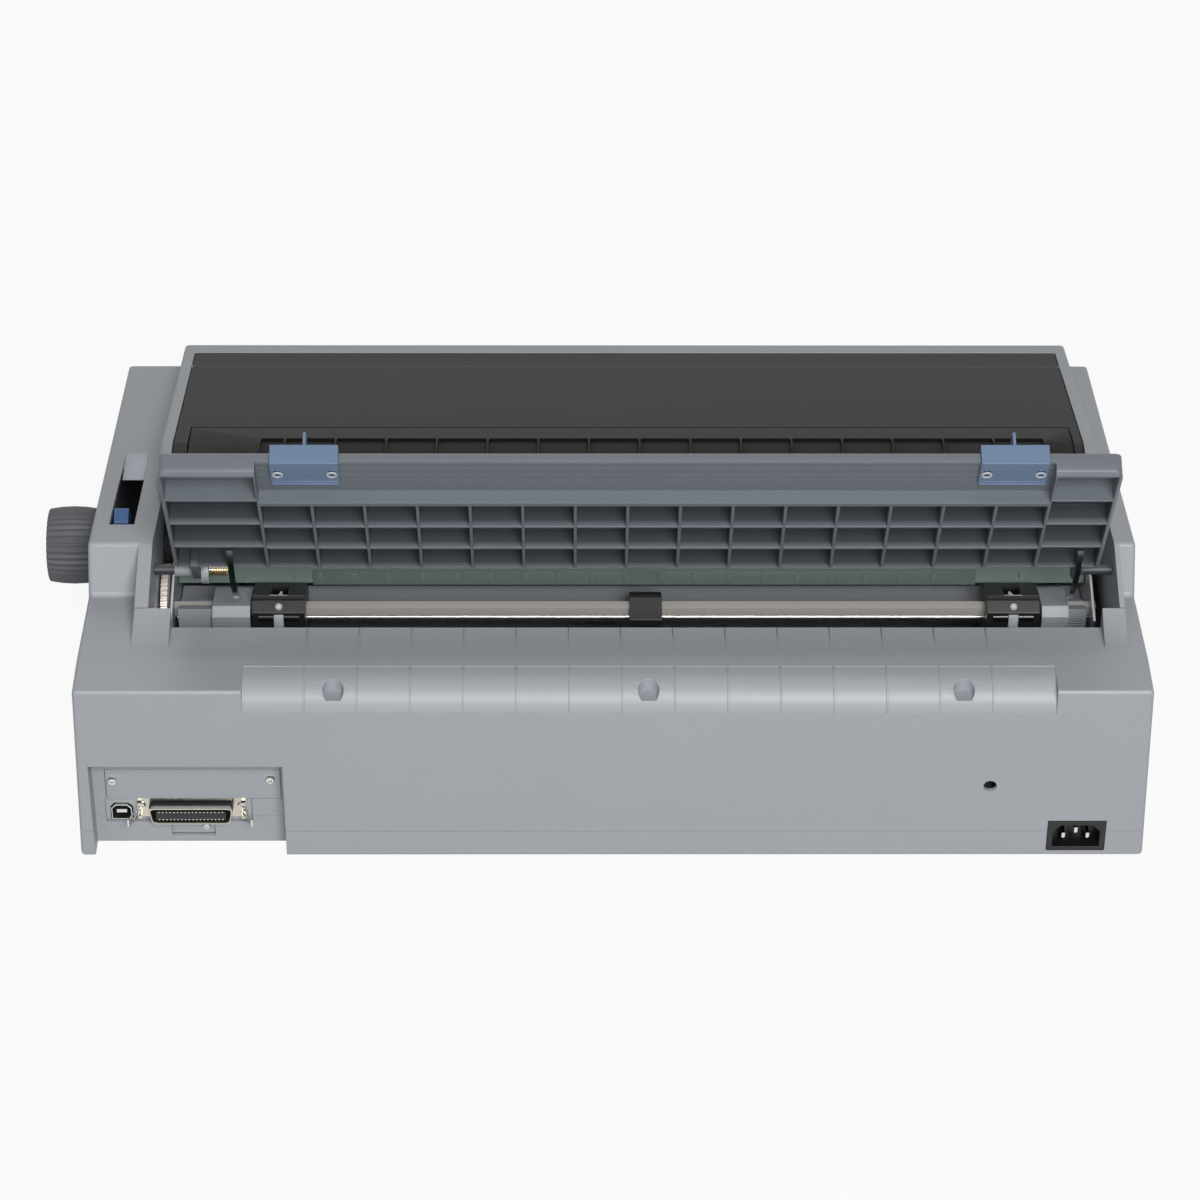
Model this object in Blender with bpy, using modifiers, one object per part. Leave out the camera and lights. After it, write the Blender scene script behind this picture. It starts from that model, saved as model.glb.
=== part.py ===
"""Wide-carriage dot matrix printer, modelled as separate sub-parts.

Metres, +Z up. The front faces -Y, the rear wall faces +Y and the platen knob is on the +X side.
All pieces hang from one empty, so that their X is measured from the middle of the case, Y from the
middle of its depth and Z from the surface that the feet stand on.
"""
import math

import bmesh
import bpy
from mathutils import Matrix, Vector

MM = 0.001
GAP = 0.3 * MM
OVERRUN = 5.0 * MM
CURVE_STEPS = 6

# Case
CASE_WIDTH = 617.0 * MM
CASE_DEPTH = 402.0 * MM
CASE_BOTTOM = 2.5 * MM
CASE_WALL = 2.8 * MM
CASE_DRAFT = math.radians(1.5)
SEAM_HEIGHT = 21.0 * MM
REAR_HEIGHT = 122.5 * MM
REAR_CROWN = 1.6 * MM
LEDGE_DEPTH = 62.0 * MM
SHOULDER_HEIGHT = 150.5 * MM
SHOULDER_FOOT = 96.0 * MM
SHOULDER_REAR = 106.0 * MM
SHOULDER_FRONT = 353.0 * MM
SHOULDER_FRONT_HEIGHT = 114.5 * MM
FRONT_BROW = 394.0 * MM
FRONT_BROW_HEIGHT = 84.0 * MM
FRONT_HEIGHT = 74.0 * MM
CORNER_RADIUS = 7.0 * MM
EDGE_RADIUS = 2.5 * MM
BAY_LEFT = 267.0 * MM
BAY_RIGHT = 292.0 * MM
BAY_FRONT = 361.0 * MM
CHEEK_WALL = 3.0 * MM
CHEEK_DEPTH = 62.0 * MM
RAMP_END = 37.0 * MM
RAMP_INSET = 13.0 * MM
RAMP_INSET_FAR_SIDE = 10.2 * MM
DECK_WALL = 2.5 * MM
BOSS_RADIUS = 5.0 * MM
BOSS_BORE = 1.6 * MM

# Feet
FOOT_RADIUS = 9.0 * MM
FOOT_HEIGHT = 6.0 * MM
FOOT_RECESS = 3.0 * MM
FOOT_CHAMFER = 1.2 * MM
FOOT_INSET_X = 34.0 * MM
FOOT_INSET_Y = 30.0 * MM

# Rear crest and ledge
CREST_FOOT = 106.9 * MM
CREST_STEP = 0.8 * MM
CREST_RUN = 22.0 * MM
CREST_FACETS = 6
CREST_NEAR = 210.0 * MM
CREST_FAR = 251.0 * MM
RIB_COUNT = 14
RIB_PITCH = 30.0 * MM
RIB_CENTRE = -20.0 * MM
RIB_WIDTH = 0.9 * MM
RIB_HEIGHT = 0.5 * MM
DIMPLE_PITCH = 178.5 * MM
DIMPLE_DEPTH = 7.4 * MM
DIMPLE_RADIUS = 6.0 * MM
DIMPLE_FLOOR = 113.8 * MM
RAMP_WIDTH_KNOB_SIDE = 8.0 * MM
SERVICE_HOLE_X = 216.6 * MM
SERVICE_HOLE_HEIGHT = 54.4 * MM
SERVICE_HOLE_RADIUS = 3.8 * MM

# Recess for the connectors, at the knob side of the rear wall
PORT_LEFT = 300.0 * MM
PORT_RIGHT = 189.0 * MM
PORT_TOP = 68.7 * MM
PORT_DEPTH = 14.0 * MM
SLOT_LEFT = 293.0 * MM
SLOT_RIGHT = 191.5 * MM
SLOT_TOP = 56.0 * MM
SLOT_BOTTOM = 34.0 * MM
SOCKET_LEFT = 294.0 * MM
SOCKET_RIGHT = 208.8 * MM
SOCKET_BOTTOM = 16.8 * MM
TAB_LEFT = 256.5 * MM
TAB_RIGHT = 231.0 * MM
TAB_BOTTOM = 6.5 * MM
SHEET = 1.2 * MM
PORT_PLATE_MARGIN = 4.0 * MM
USB_X = 285.0 * MM
USB_HEIGHT = 22.8 * MM
USB_WIDTH = 12.0 * MM
USB_TALL = 10.8 * MM
USB_WALL = 0.6 * MM
USB_LENGTH = 16.0 * MM
USB_CHAMFER = 2.4 * MM
PARALLEL_X = 244.0 * MM
PARALLEL_HEIGHT = 26.4 * MM
PARALLEL_FLANGE = 63.0 * MM
PARALLEL_FLANGE_TALL = 13.6 * MM
PARALLEL_SHELL = 49.0 * MM
PARALLEL_SHELL_TALL = 11.6 * MM
PARALLEL_REACH = 10.0 * MM
PARALLEL_WALL = 0.8 * MM
PARALLEL_TONGUE = 40.0 * MM
PARALLEL_TONGUE_TALL = 5.2 * MM
BAIL_SPAN = 60.0 * MM
BAIL_WIRE = 0.6 * MM
BAIL_WIDTH = 5.2 * MM
BAIL_LENGTH = 13.5 * MM

# Mains inlet, at the far side of the rear wall
INLET_NEAR = 252.1 * MM
INLET_FAR = 285.5 * MM
INLET_BOTTOM = 6.7 * MM
INLET_TOP = 28.4 * MM
INLET_LENGTH = 24.0 * MM
INLET_RIM = 3.0 * MM
INLET_CAVITY = 15.0 * MM
INLET_PIN_PITCH = 14.0 * MM
INLET_PIN_WIDTH = 2.0 * MM
INLET_PIN_TALL = 4.0 * MM
INLET_PIN_SHORT = 2.0 * MM

# Knob, platen and its gears
PLATEN_DEPTH = 170.0 * MM
PLATEN_HEIGHT = 104.0 * MM
PLATEN_RADIUS = 17.0 * MM
PLATEN_NEAR = 236.0 * MM
PLATEN_FAR = 262.0 * MM
PLATEN_SHAFT = 4.0 * MM
KNOB_END = 336.5 * MM
KNOB_RADIUS = 23.5 * MM
KNOB_HUB_RADIUS = 9.0 * MM
KNOB_GROOVES = 36
KNOB_GROOVE_SHARE = 0.045
KNOB_BARREL = 1.6 * MM
CLEARANCE = 0.5 * MM
SHAFT_CLEARANCE = 0.05 * MM
GEAR_MODULE = 1.0 * MM
GEAR_WIDTH = 4.0 * MM
PLATEN_TEETH = 40
IDLER_TEETH = 20
PINION_TEETH = 12
TRACTOR_TEETH = 51
TOOTH_SHARE = 0.44
TRAIN_ANGLE = math.radians(55)
TRACTOR_ANGLE = math.radians(20.6)
MOTOR_RADIUS = 20.0 * MM
MOTOR_LENGTH = 34.0 * MM
MOTOR_SHAFT = 2.5 * MM

# Side frames
FRAME_NEAR = 259.0 * MM
FRAME_FAR = 284.0 * MM
FRAME_SHEET = 1.6 * MM
FRAME_FOOT = 12.0 * MM
FRAME_REAR = 112.0 * MM
FRAME_FRONT = 325.0 * MM
FRAME_REAR_END = 104.0 * MM
FRAME_FRONT_END = 336.0 * MM
FRAME_TOP = 112.0 * MM
FRAME_REAR_TOP = 96.0 * MM
POST_HEIGHT = 14.0 * MM
BEARING_RADIUS = 8.0 * MM
BEARING_WIDTH = 3.0 * MM

# Sheets behind and under the platen
GUIDE_PLATE_DEPTH = 150.4 * MM
GUIDE_PLATE_LOW = 90.0 * MM
GUIDE_PLATE_TOP = 109.5 * MM
GUIDE_PLATE_STEP = 100.5 * MM
GUIDE_PLATE_THICK = 2.0 * MM
GUIDE_BUMP_COUNT = 14
GUIDE_BUMP_WIDTH = 6.0 * MM
GUIDE_BUMP_TALL = 6.0 * MM
LOWER_PLATE_HEIGHT = 74.0 * MM
LOWER_PLATE_REAR = 148.5 * MM
LOWER_PLATE_FRONT = 170.0 * MM

# Tractors and their shafts
SUPPORT_DEPTH = 135.5 * MM
SUPPORT_HEIGHT = 75.9 * MM
SUPPORT_RADIUS = 3.0 * MM
DRIVE_SQUARE = 6.0 * MM
TRACTOR_NEAR_X = 196.5 * MM
TRACTOR_FAR_X = -237.5 * MM
TRACTOR_WIDTH = 31.0 * MM
TRACTOR_GROOVE = 10.0 * MM
TRACTOR_REAR = 110.5 * MM
TRACTOR_FRONT = 146.0 * MM
TRACTOR_FRONT_HEIGHT = 91.5 * MM
TRACTOR_CROWN = 116.5 * MM
TRACTOR_CROWN_HEIGHT = 101.7 * MM
TRACTOR_BOTTOM = 65.5 * MM
TRACTOR_NOSE_HEIGHT = 70.5 * MM
TRACTOR_COVER_THICK = 2.6 * MM
LID_SETBACK = 5.5 * MM
SPROCKET_RADIUS = 8.0 * MM
SPROCKET_WIDTH = 8.0 * MM
SPROCKET_PINS = 6
SPROCKET_PIN_RADIUS = 1.5 * MM
SPROCKET_TIP = 10.7 * MM
LOCK_WIDTH = 6.0 * MM
LOCK_RADIUS = 6.2 * MM
LOCK_LEVER = 15.0 * MM
LOCK_THICK = 3.0 * MM
PAPER_SUPPORT_X = -20.4 * MM
PAPER_SUPPORT_WIDTH = 19.2 * MM
END_BLOCK_INNER = 213.5 * MM
END_BLOCK_STEP = 236.0 * MM
END_BLOCK_OUTER = 256.5 * MM
END_FAR_INNER = 254.5 * MM
END_FAR_STEP = 270.5 * MM
END_FAR_OUTER = 281.5 * MM
END_BLOCK_REAR = 111.5 * MM
END_BLOCK_FRONT = 147.0 * MM
END_BLOCK_TOP = 97.7 * MM
END_BLOCK_LOW = 64.7 * MM

# Carriage, print head and ribbon
RAIL_DEPTH = 242.0 * MM
RAIL_HEIGHT = 72.0 * MM
RAIL_RADIUS = 5.0 * MM
FRONT_RAIL_DEPTH = 288.0 * MM
FRONT_RAIL_HEIGHT = 70.0 * MM
FRONT_RAIL_WIDTH = 14.0 * MM
CARRIAGE_X = 120.0 * MM
CARRIAGE_WIDTH = 44.0 * MM
CARRIAGE_REAR = 214.0 * MM
CARRIAGE_FRONT = 284.0 * MM
CARRIAGE_LOW = 62.0 * MM
CARRIAGE_TOP = 84.0 * MM
HEAD_TIP = 190.0 * MM
HEAD_RADIUS = 18.0 * MM
HEAD_FRONT = 236.0 * MM
HEAD_FINS = 5
FIN_GAP = 2.2 * MM
CARRIAGE_TRAVEL_NEAR = 80.0 * MM
PULLEY_RADIUS = 7.0 * MM
PULLEY_X = 222.0 * MM
BELT_HEIGHT = 52.0 * MM
BELT_DEPTH = 258.0 * MM
BELT_TALL = 6.0 * MM
BELT_THICK = 1.2 * MM
BELT_MOTOR_RADIUS = 18.0 * MM
BELT_MOTOR_LENGTH = 22.0 * MM
RIBBON_NEAR = 226.0 * MM
RIBBON_FAR = 250.0 * MM
RIBBON_REAR = 292.0 * MM
RIBBON_FRONT = 330.0 * MM
RIBBON_LOW = 84.0 * MM
RIBBON_TOP = 103.0 * MM
RIBBON_ARM = 16.0 * MM
RIBBON_LAP = 8.0 * MM
RIBBON_SHELF_REAR = 262.0 * MM
RIBBON_SHELF_FRONT = 282.0 * MM
RIBBON_KNOB_RADIUS = 9.0 * MM
RIBBON_KNOB_TALL = 7.0 * MM
RIBBON_KNOB_X = 196.0 * MM

# Printer cover, window and exit flap
COVER_NEAR = 270.0 * MM
COVER_FAR = 291.0 * MM
COVER_FRONT = 363.5 * MM
COVER_FRONT_HEIGHT = 124.5 * MM
COVER_LIP = 10.0 * MM
COVER_PEAK = 200.0 * MM
COVER_PEAK_HEIGHT = 158.0 * MM
COVER_REAR = 160.0 * MM
COVER_REAR_HEIGHT = 153.0 * MM
COVER_WALL = 2.5 * MM
COVER_BAND = 7.5 * MM
COVER_FRONT_BAND = 14.5 * MM
COVER_SKIRT_GAP = 1.2 * MM
WINDOW_THICK = 2.2 * MM
FLAP_FRONT = 224.0 * MM
FLAP_REAR = 170.0 * MM
FLAP_NEAR = 253.0 * MM
FLAP_FAR = 277.0 * MM
FLAP_THICK = 2.4 * MM
FLAP_PIN_RADIUS = 1.8 * MM
EXIT_NEAR = 210.0 * MM
EXIT_FAR = 259.6 * MM
EXIT_REAR = 186.0 * MM
EXIT_FRONT = 207.0 * MM
EXIT_PITCH = 30.4 * MM
EXIT_DIVIDER = 1.6 * MM
FOAM_TALL = 5.0 * MM
COVER_PIN_RADIUS = 3.0 * MM
COVER_PIN_LENGTH = 6.0 * MM
COVER_HEEL = 2.4 * MM

# Sheet guide
GUIDE_NEAR = 252.6 * MM
GUIDE_FAR = 281.2 * MM
GUIDE_TOP = 256.0 * MM
GUIDE_LEAN = math.radians(28)
GUIDE_PIVOT_DEPTH = 104.0 * MM
GUIDE_PIVOT_HEIGHT = 133.0 * MM
GUIDE_THICK = 15.5 * MM
GUIDE_SKIN = 2.2 * MM
GUIDE_ARM_NEAR = 54.0 * MM
GUIDE_ARM_FAR = 37.2 * MM
GUIDE_GRID_TOP = 100.0 * MM
GUIDE_GRID_BOTTOM = 12.0 * MM
GUIDE_GRID_ROWS = 4
GUIDE_GRID_DEPTH = 12.5 * MM
GUIDE_RIB = 1.8 * MM
GUIDE_CELLS = 15
GUIDE_CHANNEL = 8.0 * MM
GUIDE_LEG_WIDTH = 9.0 * MM
GUIDE_PIN_RADIUS = 3.0 * MM
GUIDE_FOLD_DROP = 9.5 * MM
EDGE_GUIDE_WIDTH = 38.0 * MM
EDGE_GUIDE_NEAR_X = 171.5 * MM
EDGE_GUIDE_FAR_X = -221.6 * MM
EDGE_GUIDE_WALL = 1.8 * MM
EDGE_GUIDE_DROP = 22.0 * MM
EDGE_GUIDE_FIN = 9.0 * MM
EDGE_GUIDE_HOLE = 2.0 * MM

# Release lever
LEVER_SLOT_INNER = 280.0 * MM
LEVER_SLOT_OUTER = 294.6 * MM
LEVER_SLOT_REAR = 129.9 * MM
LEVER_SLOT_FRONT = 197.0 * MM
LEVER_RAMP_END = 226.2 * MM
LEVER_RAMP_DEPTH = 5.0 * MM
LEVER_X = 289.0 * MM
LEVER_WIDTH = 8.6 * MM
LEVER_HEAD = 11.0 * MM
LEVER_HEAD_TALL = 24.0 * MM
LEVER_TIP_DEPTH = 143.0 * MM
LEVER_TIP_HEIGHT = 144.0 * MM
LEVER_STEM = 5.0 * MM
LEVER_RING = 3.0 * MM

# Control panel, switch and front cover
PANEL_NEAR = 210.0 * MM
PANEL_FAR = 34.0 * MM
PANEL_REAR = 366.5 * MM
PANEL_FRONT = 391.0 * MM
PANEL_THICK = 2.4 * MM
BUTTON_WIDTH = 15.0 * MM
BUTTON_DEEP = 7.0 * MM
BUTTON_COUNT = 3
BUTTON_PITCH = 34.0 * MM
BUTTON_PROUD = 1.6 * MM
BUTTON_TRAVEL = 1.0 * MM
SWITCH_X = 262.0 * MM
SWITCH_WIDTH = 13.0 * MM
SWITCH_HEIGHT = 19.0 * MM
SWITCH_BOTTOM = 34.0 * MM
SWITCH_RIM = 1.6 * MM
SWITCH_DEPTH = 14.0 * MM
ENTRY_WIDTH = 470.0 * MM
ENTRY_BOTTOM = 30.0 * MM
ENTRY_TOP = 66.0 * MM
FRONT_COVER_THICK = 2.2 * MM
FRONT_COVER_PIN = 2.0 * MM

# Boards
BOARD_THICK = 1.6 * MM
BOARD_HEIGHT = 12.0 * MM
BOARD_FRONT = 92.0 * MM
SUPPLY_FRONT = 96.0 * MM
SUPPLY_NEAR = 170.0 * MM
BAIL_LEAN = math.radians(25)
WELD = 0.01 * MM


def depth(distance):
    """Y of a place that lies the given distance in front of the rear wall."""
    return CASE_DEPTH / 2 - distance


def new_collection(name):
    collection = bpy.data.collections.new(name)
    bpy.context.scene.collection.children.link(collection)
    return collection


for leftover in list(bpy.data.objects):
    bpy.data.objects.remove(leftover, do_unlink=True)

printer = new_collection("dot_matrix_printer")
cutters = new_collection("cutters")
case_origin = bpy.data.objects.new("case_origin", None)
printer.objects.link(case_origin)
case_origin.location.x = (CASE_WIDTH / 2 - KNOB_END) / 2


def material(name, colour, roughness, metallic=0.0, alpha=1.0):
    existing = bpy.data.materials.get(name)
    if existing:
        return existing
    made = bpy.data.materials.new(name)
    made.use_nodes = True
    shader = made.node_tree.nodes["Principled BSDF"]
    shader.inputs["Base Color"].default_value = (*colour, 1.0)
    shader.inputs["Roughness"].default_value = roughness
    shader.inputs["Metallic"].default_value = metallic
    shader.inputs["Alpha"].default_value = alpha
    return made


def finish(obj, look, smooth=None):
    """Give a sub-part its material and, on round pieces, smooth shading."""
    obj.data.materials.clear()
    obj.data.materials.append(look)
    if smooth:
        obj.data.shade_smooth()
        obj.data.set_sharp_from_angle(angle=smooth)
    return obj


def as_object(name, mesh, cutter=False):
    obj = bpy.data.objects.new(name, mesh)
    (cutters if cutter else printer).objects.link(obj)
    obj.parent = case_origin
    if cutter:
        obj.hide_render = True
        obj.display_type = 'WIRE'
    return obj


def box(name, low, high, cutter=False):
    """A box between two opposite corners."""
    low, high = Vector(low), Vector(high)
    form = bmesh.new()
    bmesh.ops.create_cube(form, size=1.0)
    bmesh.ops.scale(form, vec=high - low, verts=form.verts)
    bmesh.ops.translate(form, vec=(high + low) / 2, verts=form.verts)
    mesh = bpy.data.meshes.new(name)
    form.to_mesh(mesh)
    form.free()
    return as_object(name, mesh, cutter)


AXIS_TURN = {
    "X": Matrix.Rotation(math.radians(90), 4, 'Y'),
    "Y": Matrix.Rotation(math.radians(-90), 4, 'X'),
    "Z": Matrix.Identity(4),
}


def rod(name, axis, start, length, radius, cutter=False, sides=24, end_radius=None):
    """A round bar or cone that runs from its start point along a row axis."""
    form = bmesh.new()
    bmesh.ops.create_cone(form, cap_ends=True, segments=sides, radius1=radius,
                          radius2=radius if end_radius is None else end_radius, depth=length)
    bmesh.ops.translate(form, vec=(0, 0, length / 2), verts=form.verts)
    form.transform(Matrix.Translation(start) @ AXIS_TURN[axis])
    mesh = bpy.data.meshes.new(name)
    form.to_mesh(mesh)
    form.free()
    return as_object(name, mesh, cutter)


def prism(name, outline, axis, start, end, cutter=False, smooth=False):
    """A flat outline, extruded along X, Y or Z. Its points are YZ, XZ or XY pairs."""
    curve = bpy.data.curves.new(name, 'CURVE')
    curve.dimensions = '2D'
    curve.fill_mode = 'BOTH'
    curve.extrude = abs(end - start) / 2
    spline = curve.splines.new('POLY')
    spline.points.add(len(outline) - 1)
    for point, (first, second) in zip(spline.points, outline):
        point.co = (first, second, 0, 1)
    spline.use_cyclic_u = True
    helper = bpy.data.objects.new(name + "_outline", curve)
    cutters.objects.link(helper)
    bpy.context.view_layer.update()
    mesh = bpy.data.meshes.new_from_object(helper.evaluated_get(bpy.context.evaluated_depsgraph_get()))
    bpy.data.objects.remove(helper)
    form = bmesh.new()
    form.from_mesh(mesh)
    bmesh.ops.remove_doubles(form, verts=form.verts, dist=WELD)
    middle = (start + end) / 2
    if axis == "X":
        form.transform(Matrix(((0, 0, 1, middle), (1, 0, 0, 0), (0, 1, 0, 0), (0, 0, 0, 1))))
    elif axis == "Y":
        form.transform(Matrix(((1, 0, 0, 0), (0, 0, -1, middle), (0, 1, 0, 0), (0, 0, 0, 1))))
    else:
        form.transform(Matrix.Translation((0, 0, middle)))
    bmesh.ops.recalc_face_normals(form, faces=form.faces)
    form.to_mesh(mesh)
    form.free()
    return as_object(name, mesh, cutter)


def lathe(name, profile, axis, location, steps=32, cutter=False):
    """A turned piece. The profile is a list of (radius, height along the axis), top to bottom."""
    form = bmesh.new()
    corners = [form.verts.new((radius, 0, height)) for radius, height in profile]
    for first, second in zip(corners, corners[1:]):
        form.edges.new((first, second))
    mesh = bpy.data.meshes.new(name)
    form.to_mesh(mesh)
    form.free()
    turned = as_object(name, mesh, cutter)
    screw = turned.modifiers.new("turn", 'SCREW')
    screw.steps = steps
    screw.render_steps = steps
    screw.use_merge_vertices = True
    screw.merge_threshold = WELD
    settle(turned)
    turned.data.transform(Matrix.Translation(location) @ AXIS_TURN[axis])
    return turned


def wire(name, points, radius, closed=False, cutter=False):
    """A bent wire of round section through the given points."""
    curve = bpy.data.curves.new(name, 'CURVE')
    curve.dimensions = '3D'
    curve.bevel_depth = radius
    curve.bevel_resolution = 2
    curve.use_fill_caps = True
    spline = curve.splines.new('POLY')
    spline.points.add(len(points) - 1)
    for point, place in zip(spline.points, points):
        point.co = (*place, 1)
    spline.use_cyclic_u = closed
    helper = bpy.data.objects.new(name + "_path", curve)
    cutters.objects.link(helper)
    bpy.context.view_layer.update()
    mesh = bpy.data.meshes.new_from_object(helper.evaluated_get(bpy.context.evaluated_depsgraph_get()))
    bpy.data.objects.remove(helper)
    form = bmesh.new()
    form.from_mesh(mesh)
    bmesh.ops.remove_doubles(form, verts=form.verts, dist=WELD)
    bmesh.ops.recalc_face_normals(form, faces=form.faces)
    form.to_mesh(mesh)
    form.free()
    return as_object(name, mesh, cutter)


def settle(obj):
    """Apply an object's modifiers to its mesh."""
    bpy.context.view_layer.update()
    made = bpy.data.meshes.new_from_object(obj.evaluated_get(bpy.context.evaluated_depsgraph_get()))
    obj.modifiers.clear()
    obj.data = made
    return obj


def combine(obj, others, operation):
    for other in others:
        boolean = obj.modifiers.new(operation.lower(), 'BOOLEAN')
        boolean.operation = operation
        boolean.solver = 'EXACT'
        boolean.object = other
    return settle(obj)


def cut(obj, *others):
    return combine(obj, others, 'DIFFERENCE')


def join(obj, *others):
    return combine(obj, others, 'UNION')


def soften(obj, width, segments=2, angle=math.radians(40)):
    """Round the sharp edges of a piece."""
    bevel = obj.modifiers.new("bevel", 'BEVEL')
    bevel.width = width
    bevel.segments = segments
    bevel.limit_method = 'ANGLE'
    bevel.angle_limit = angle
    return settle(obj)


def set_pivot(obj, pivot):
    """Move an object's origin to its joint axis without moving the piece."""
    obj.data.transform(Matrix.Translation(-Vector(pivot)))
    obj.location = pivot
    return obj


def turned_about_x(point, pivot, angle):
    """A YZ point turned about an X axis, positive from +Y towards +Z."""
    y, z = point[0] - pivot[0], point[1] - pivot[1]
    return (pivot[0] + y * math.cos(angle) - z * math.sin(angle),
            pivot[1] + y * math.sin(angle) + z * math.cos(angle))


def round_outline(corners, radius, steps=CURVE_STEPS):
    """A closed outline whose corners are rounded to one radius."""
    points = []
    for index, corner in enumerate(corners):
        here = Vector(corner)
        before = (Vector(corners[index - 1]) - here)
        after = (Vector(corners[(index + 1) % len(corners)]) - here)
        reach = min(radius, before.length / 2, after.length / 2)
        first = here + before.normalized() * reach
        last = here + after.normalized() * reach
        for step in range(steps + 1):
            share = step / steps
            points.append(tuple(first * (1 - share) ** 2 + here * 2 * share * (1 - share) + last * share ** 2))
    return points

CASE_GREY = material("case_grey", (0.37, 0.385, 0.405), 0.5)
GUIDE_GREY = material("guide_grey", (0.185, 0.205, 0.235), 0.5)
PANEL_GREY = material("panel_grey", (0.30, 0.315, 0.34), 0.5)
LIGHT_GREY = material("light_grey", (0.33, 0.34, 0.36), 0.5)
DARK_GREY = material("dark_grey", (0.22, 0.23, 0.25), 0.5)
KNOB_GREY = material("knob_grey", (0.145, 0.15, 0.165), 0.55)
BUTTON_GREY = material("button_grey", (0.45, 0.46, 0.48), 0.5)
GUIDE_BLUE = material("guide_blue", (0.105, 0.155, 0.25), 0.45)
LEVER_BLUE = material("lever_blue", (0.05, 0.10, 0.24), 0.45)
SMOKE = material("smoked_clear", (0.03, 0.03, 0.03), 0.15, 0.0, 0.75)
GREEN_CLEAR = material("green_clear", (0.12, 0.16, 0.155), 0.35)
BLACK = material("black_plastic", (0.012, 0.012, 0.013), 0.45)
RUBBER = material("rubber", (0.02, 0.02, 0.02), 0.85)
WHITE = material("natural_acetal", (0.62, 0.61, 0.57), 0.5)
STEEL = material("zinc_steel", (0.52, 0.53, 0.54), 0.4, 1.0)
POLISHED = material("ground_steel", (0.70, 0.68, 0.64), 0.2, 1.0)
NICKEL = material("nickel", (0.62, 0.56, 0.48), 0.35, 1.0)
CHROME = material("bright_plate", (0.75, 0.75, 0.74), 0.2, 1.0)
ALUMINIUM = material("cast_aluminium", (0.60, 0.60, 0.61), 0.4, 1.0)
BRASS = material("brass", (0.60, 0.45, 0.20), 0.3, 1.0)
BOARD_GREEN = material("board_green", (0.02, 0.09, 0.045), 0.5)


def offset_outline(points, distance):
    """The outline moved inwards by one distance, with mitred corners. It runs clockwise in YZ."""
    moved = []
    for index, point in enumerate(points):
        here = Vector(point)
        first = (here - Vector(points[index - 1])).normalized()
        second = (Vector(points[(index + 1) % len(points)]) - here).normalized()
        first_side = Vector((first.y, -first.x))
        second_side = Vector((second.y, -second.x))
        mitre = first_side + second_side
        moved.append(tuple(here + mitre * (distance / max(mitre.dot(first_side), GAP / GAP / 2))))
    return moved


def case_outline():
    """The side view of the whole case, from the rear foot over the shoulder to the front foot."""
    return [
        (depth(0), CASE_BOTTOM),
        (depth(CASE_DEPTH), CASE_BOTTOM),
        (depth(CASE_DEPTH), FRONT_HEIGHT),
        (depth(FRONT_BROW), FRONT_BROW_HEIGHT),
        (depth(SHOULDER_FRONT), SHOULDER_FRONT_HEIGHT),
        (depth(SHOULDER_REAR), SHOULDER_HEIGHT),
        (depth(SHOULDER_FOOT), REAR_HEIGHT - CASE_WALL),
        (depth(LEDGE_DEPTH / 2), REAR_HEIGHT + REAR_CROWN),
        (depth(0), REAR_HEIGHT),
    ]


def draft(obj):
    """Narrow the case towards its top, as the mould needs."""
    for vertex in obj.data.vertices:
        vertex.co.x *= 1 - (vertex.co.z - CASE_BOTTOM) * math.tan(CASE_DRAFT) / (CASE_WIDTH / 2)
    return obj


def outer_form(name):
    form = draft(prism(name, case_outline(), "X", -CASE_WIDTH / 2, CASE_WIDTH / 2))
    return soften(form, CORNER_RADIUS, segments=3, angle=math.radians(24))


def inner_form(name):
    hollow = offset_outline(case_outline(), CASE_WALL)
    crest = hollow.pop()
    hollow.append((depth(CREST_RUN), hollow[-1][1]))
    hollow.append((crest[0], CREST_FOOT - CASE_WALL))
    side = CASE_WIDTH / 2 - CASE_WALL
    return draft(prism(name, hollow, "X", -side, side, cutter=True))


def everything_above(height):
    return box("above", (-CASE_WIDTH, -CASE_DEPTH, height), (CASE_WIDTH, CASE_DEPTH, CASE_WIDTH), True)


def everything_below(height):
    return box("below", (-CASE_WIDTH, -CASE_DEPTH, -CASE_WIDTH), (CASE_WIDTH, CASE_DEPTH, height), True)


def crest_scoop():
    """The larger rounding of the rear crest, let into the case between two short steps."""
    arc = [
        (depth(CREST_STEP + CREST_RUN * (1 - math.cos(angle))),
         CREST_FOOT + (REAR_HEIGHT + REAR_CROWN / 2 - CREST_FOOT) * math.sin(angle))
        for angle in (math.pi / 2 * step / CREST_FACETS for step in range(CREST_FACETS + 1))
    ]
    outline = [(depth(-OVERRUN), CREST_FOOT)] + arc
    outline += [(arc[-1][0], REAR_HEIGHT + OVERRUN), (depth(-OVERRUN), REAR_HEIGHT + OVERRUN)]
    return prism("crest_scoop", outline, "X", -CREST_FAR, CREST_NEAR, cutter=True), arc


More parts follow.
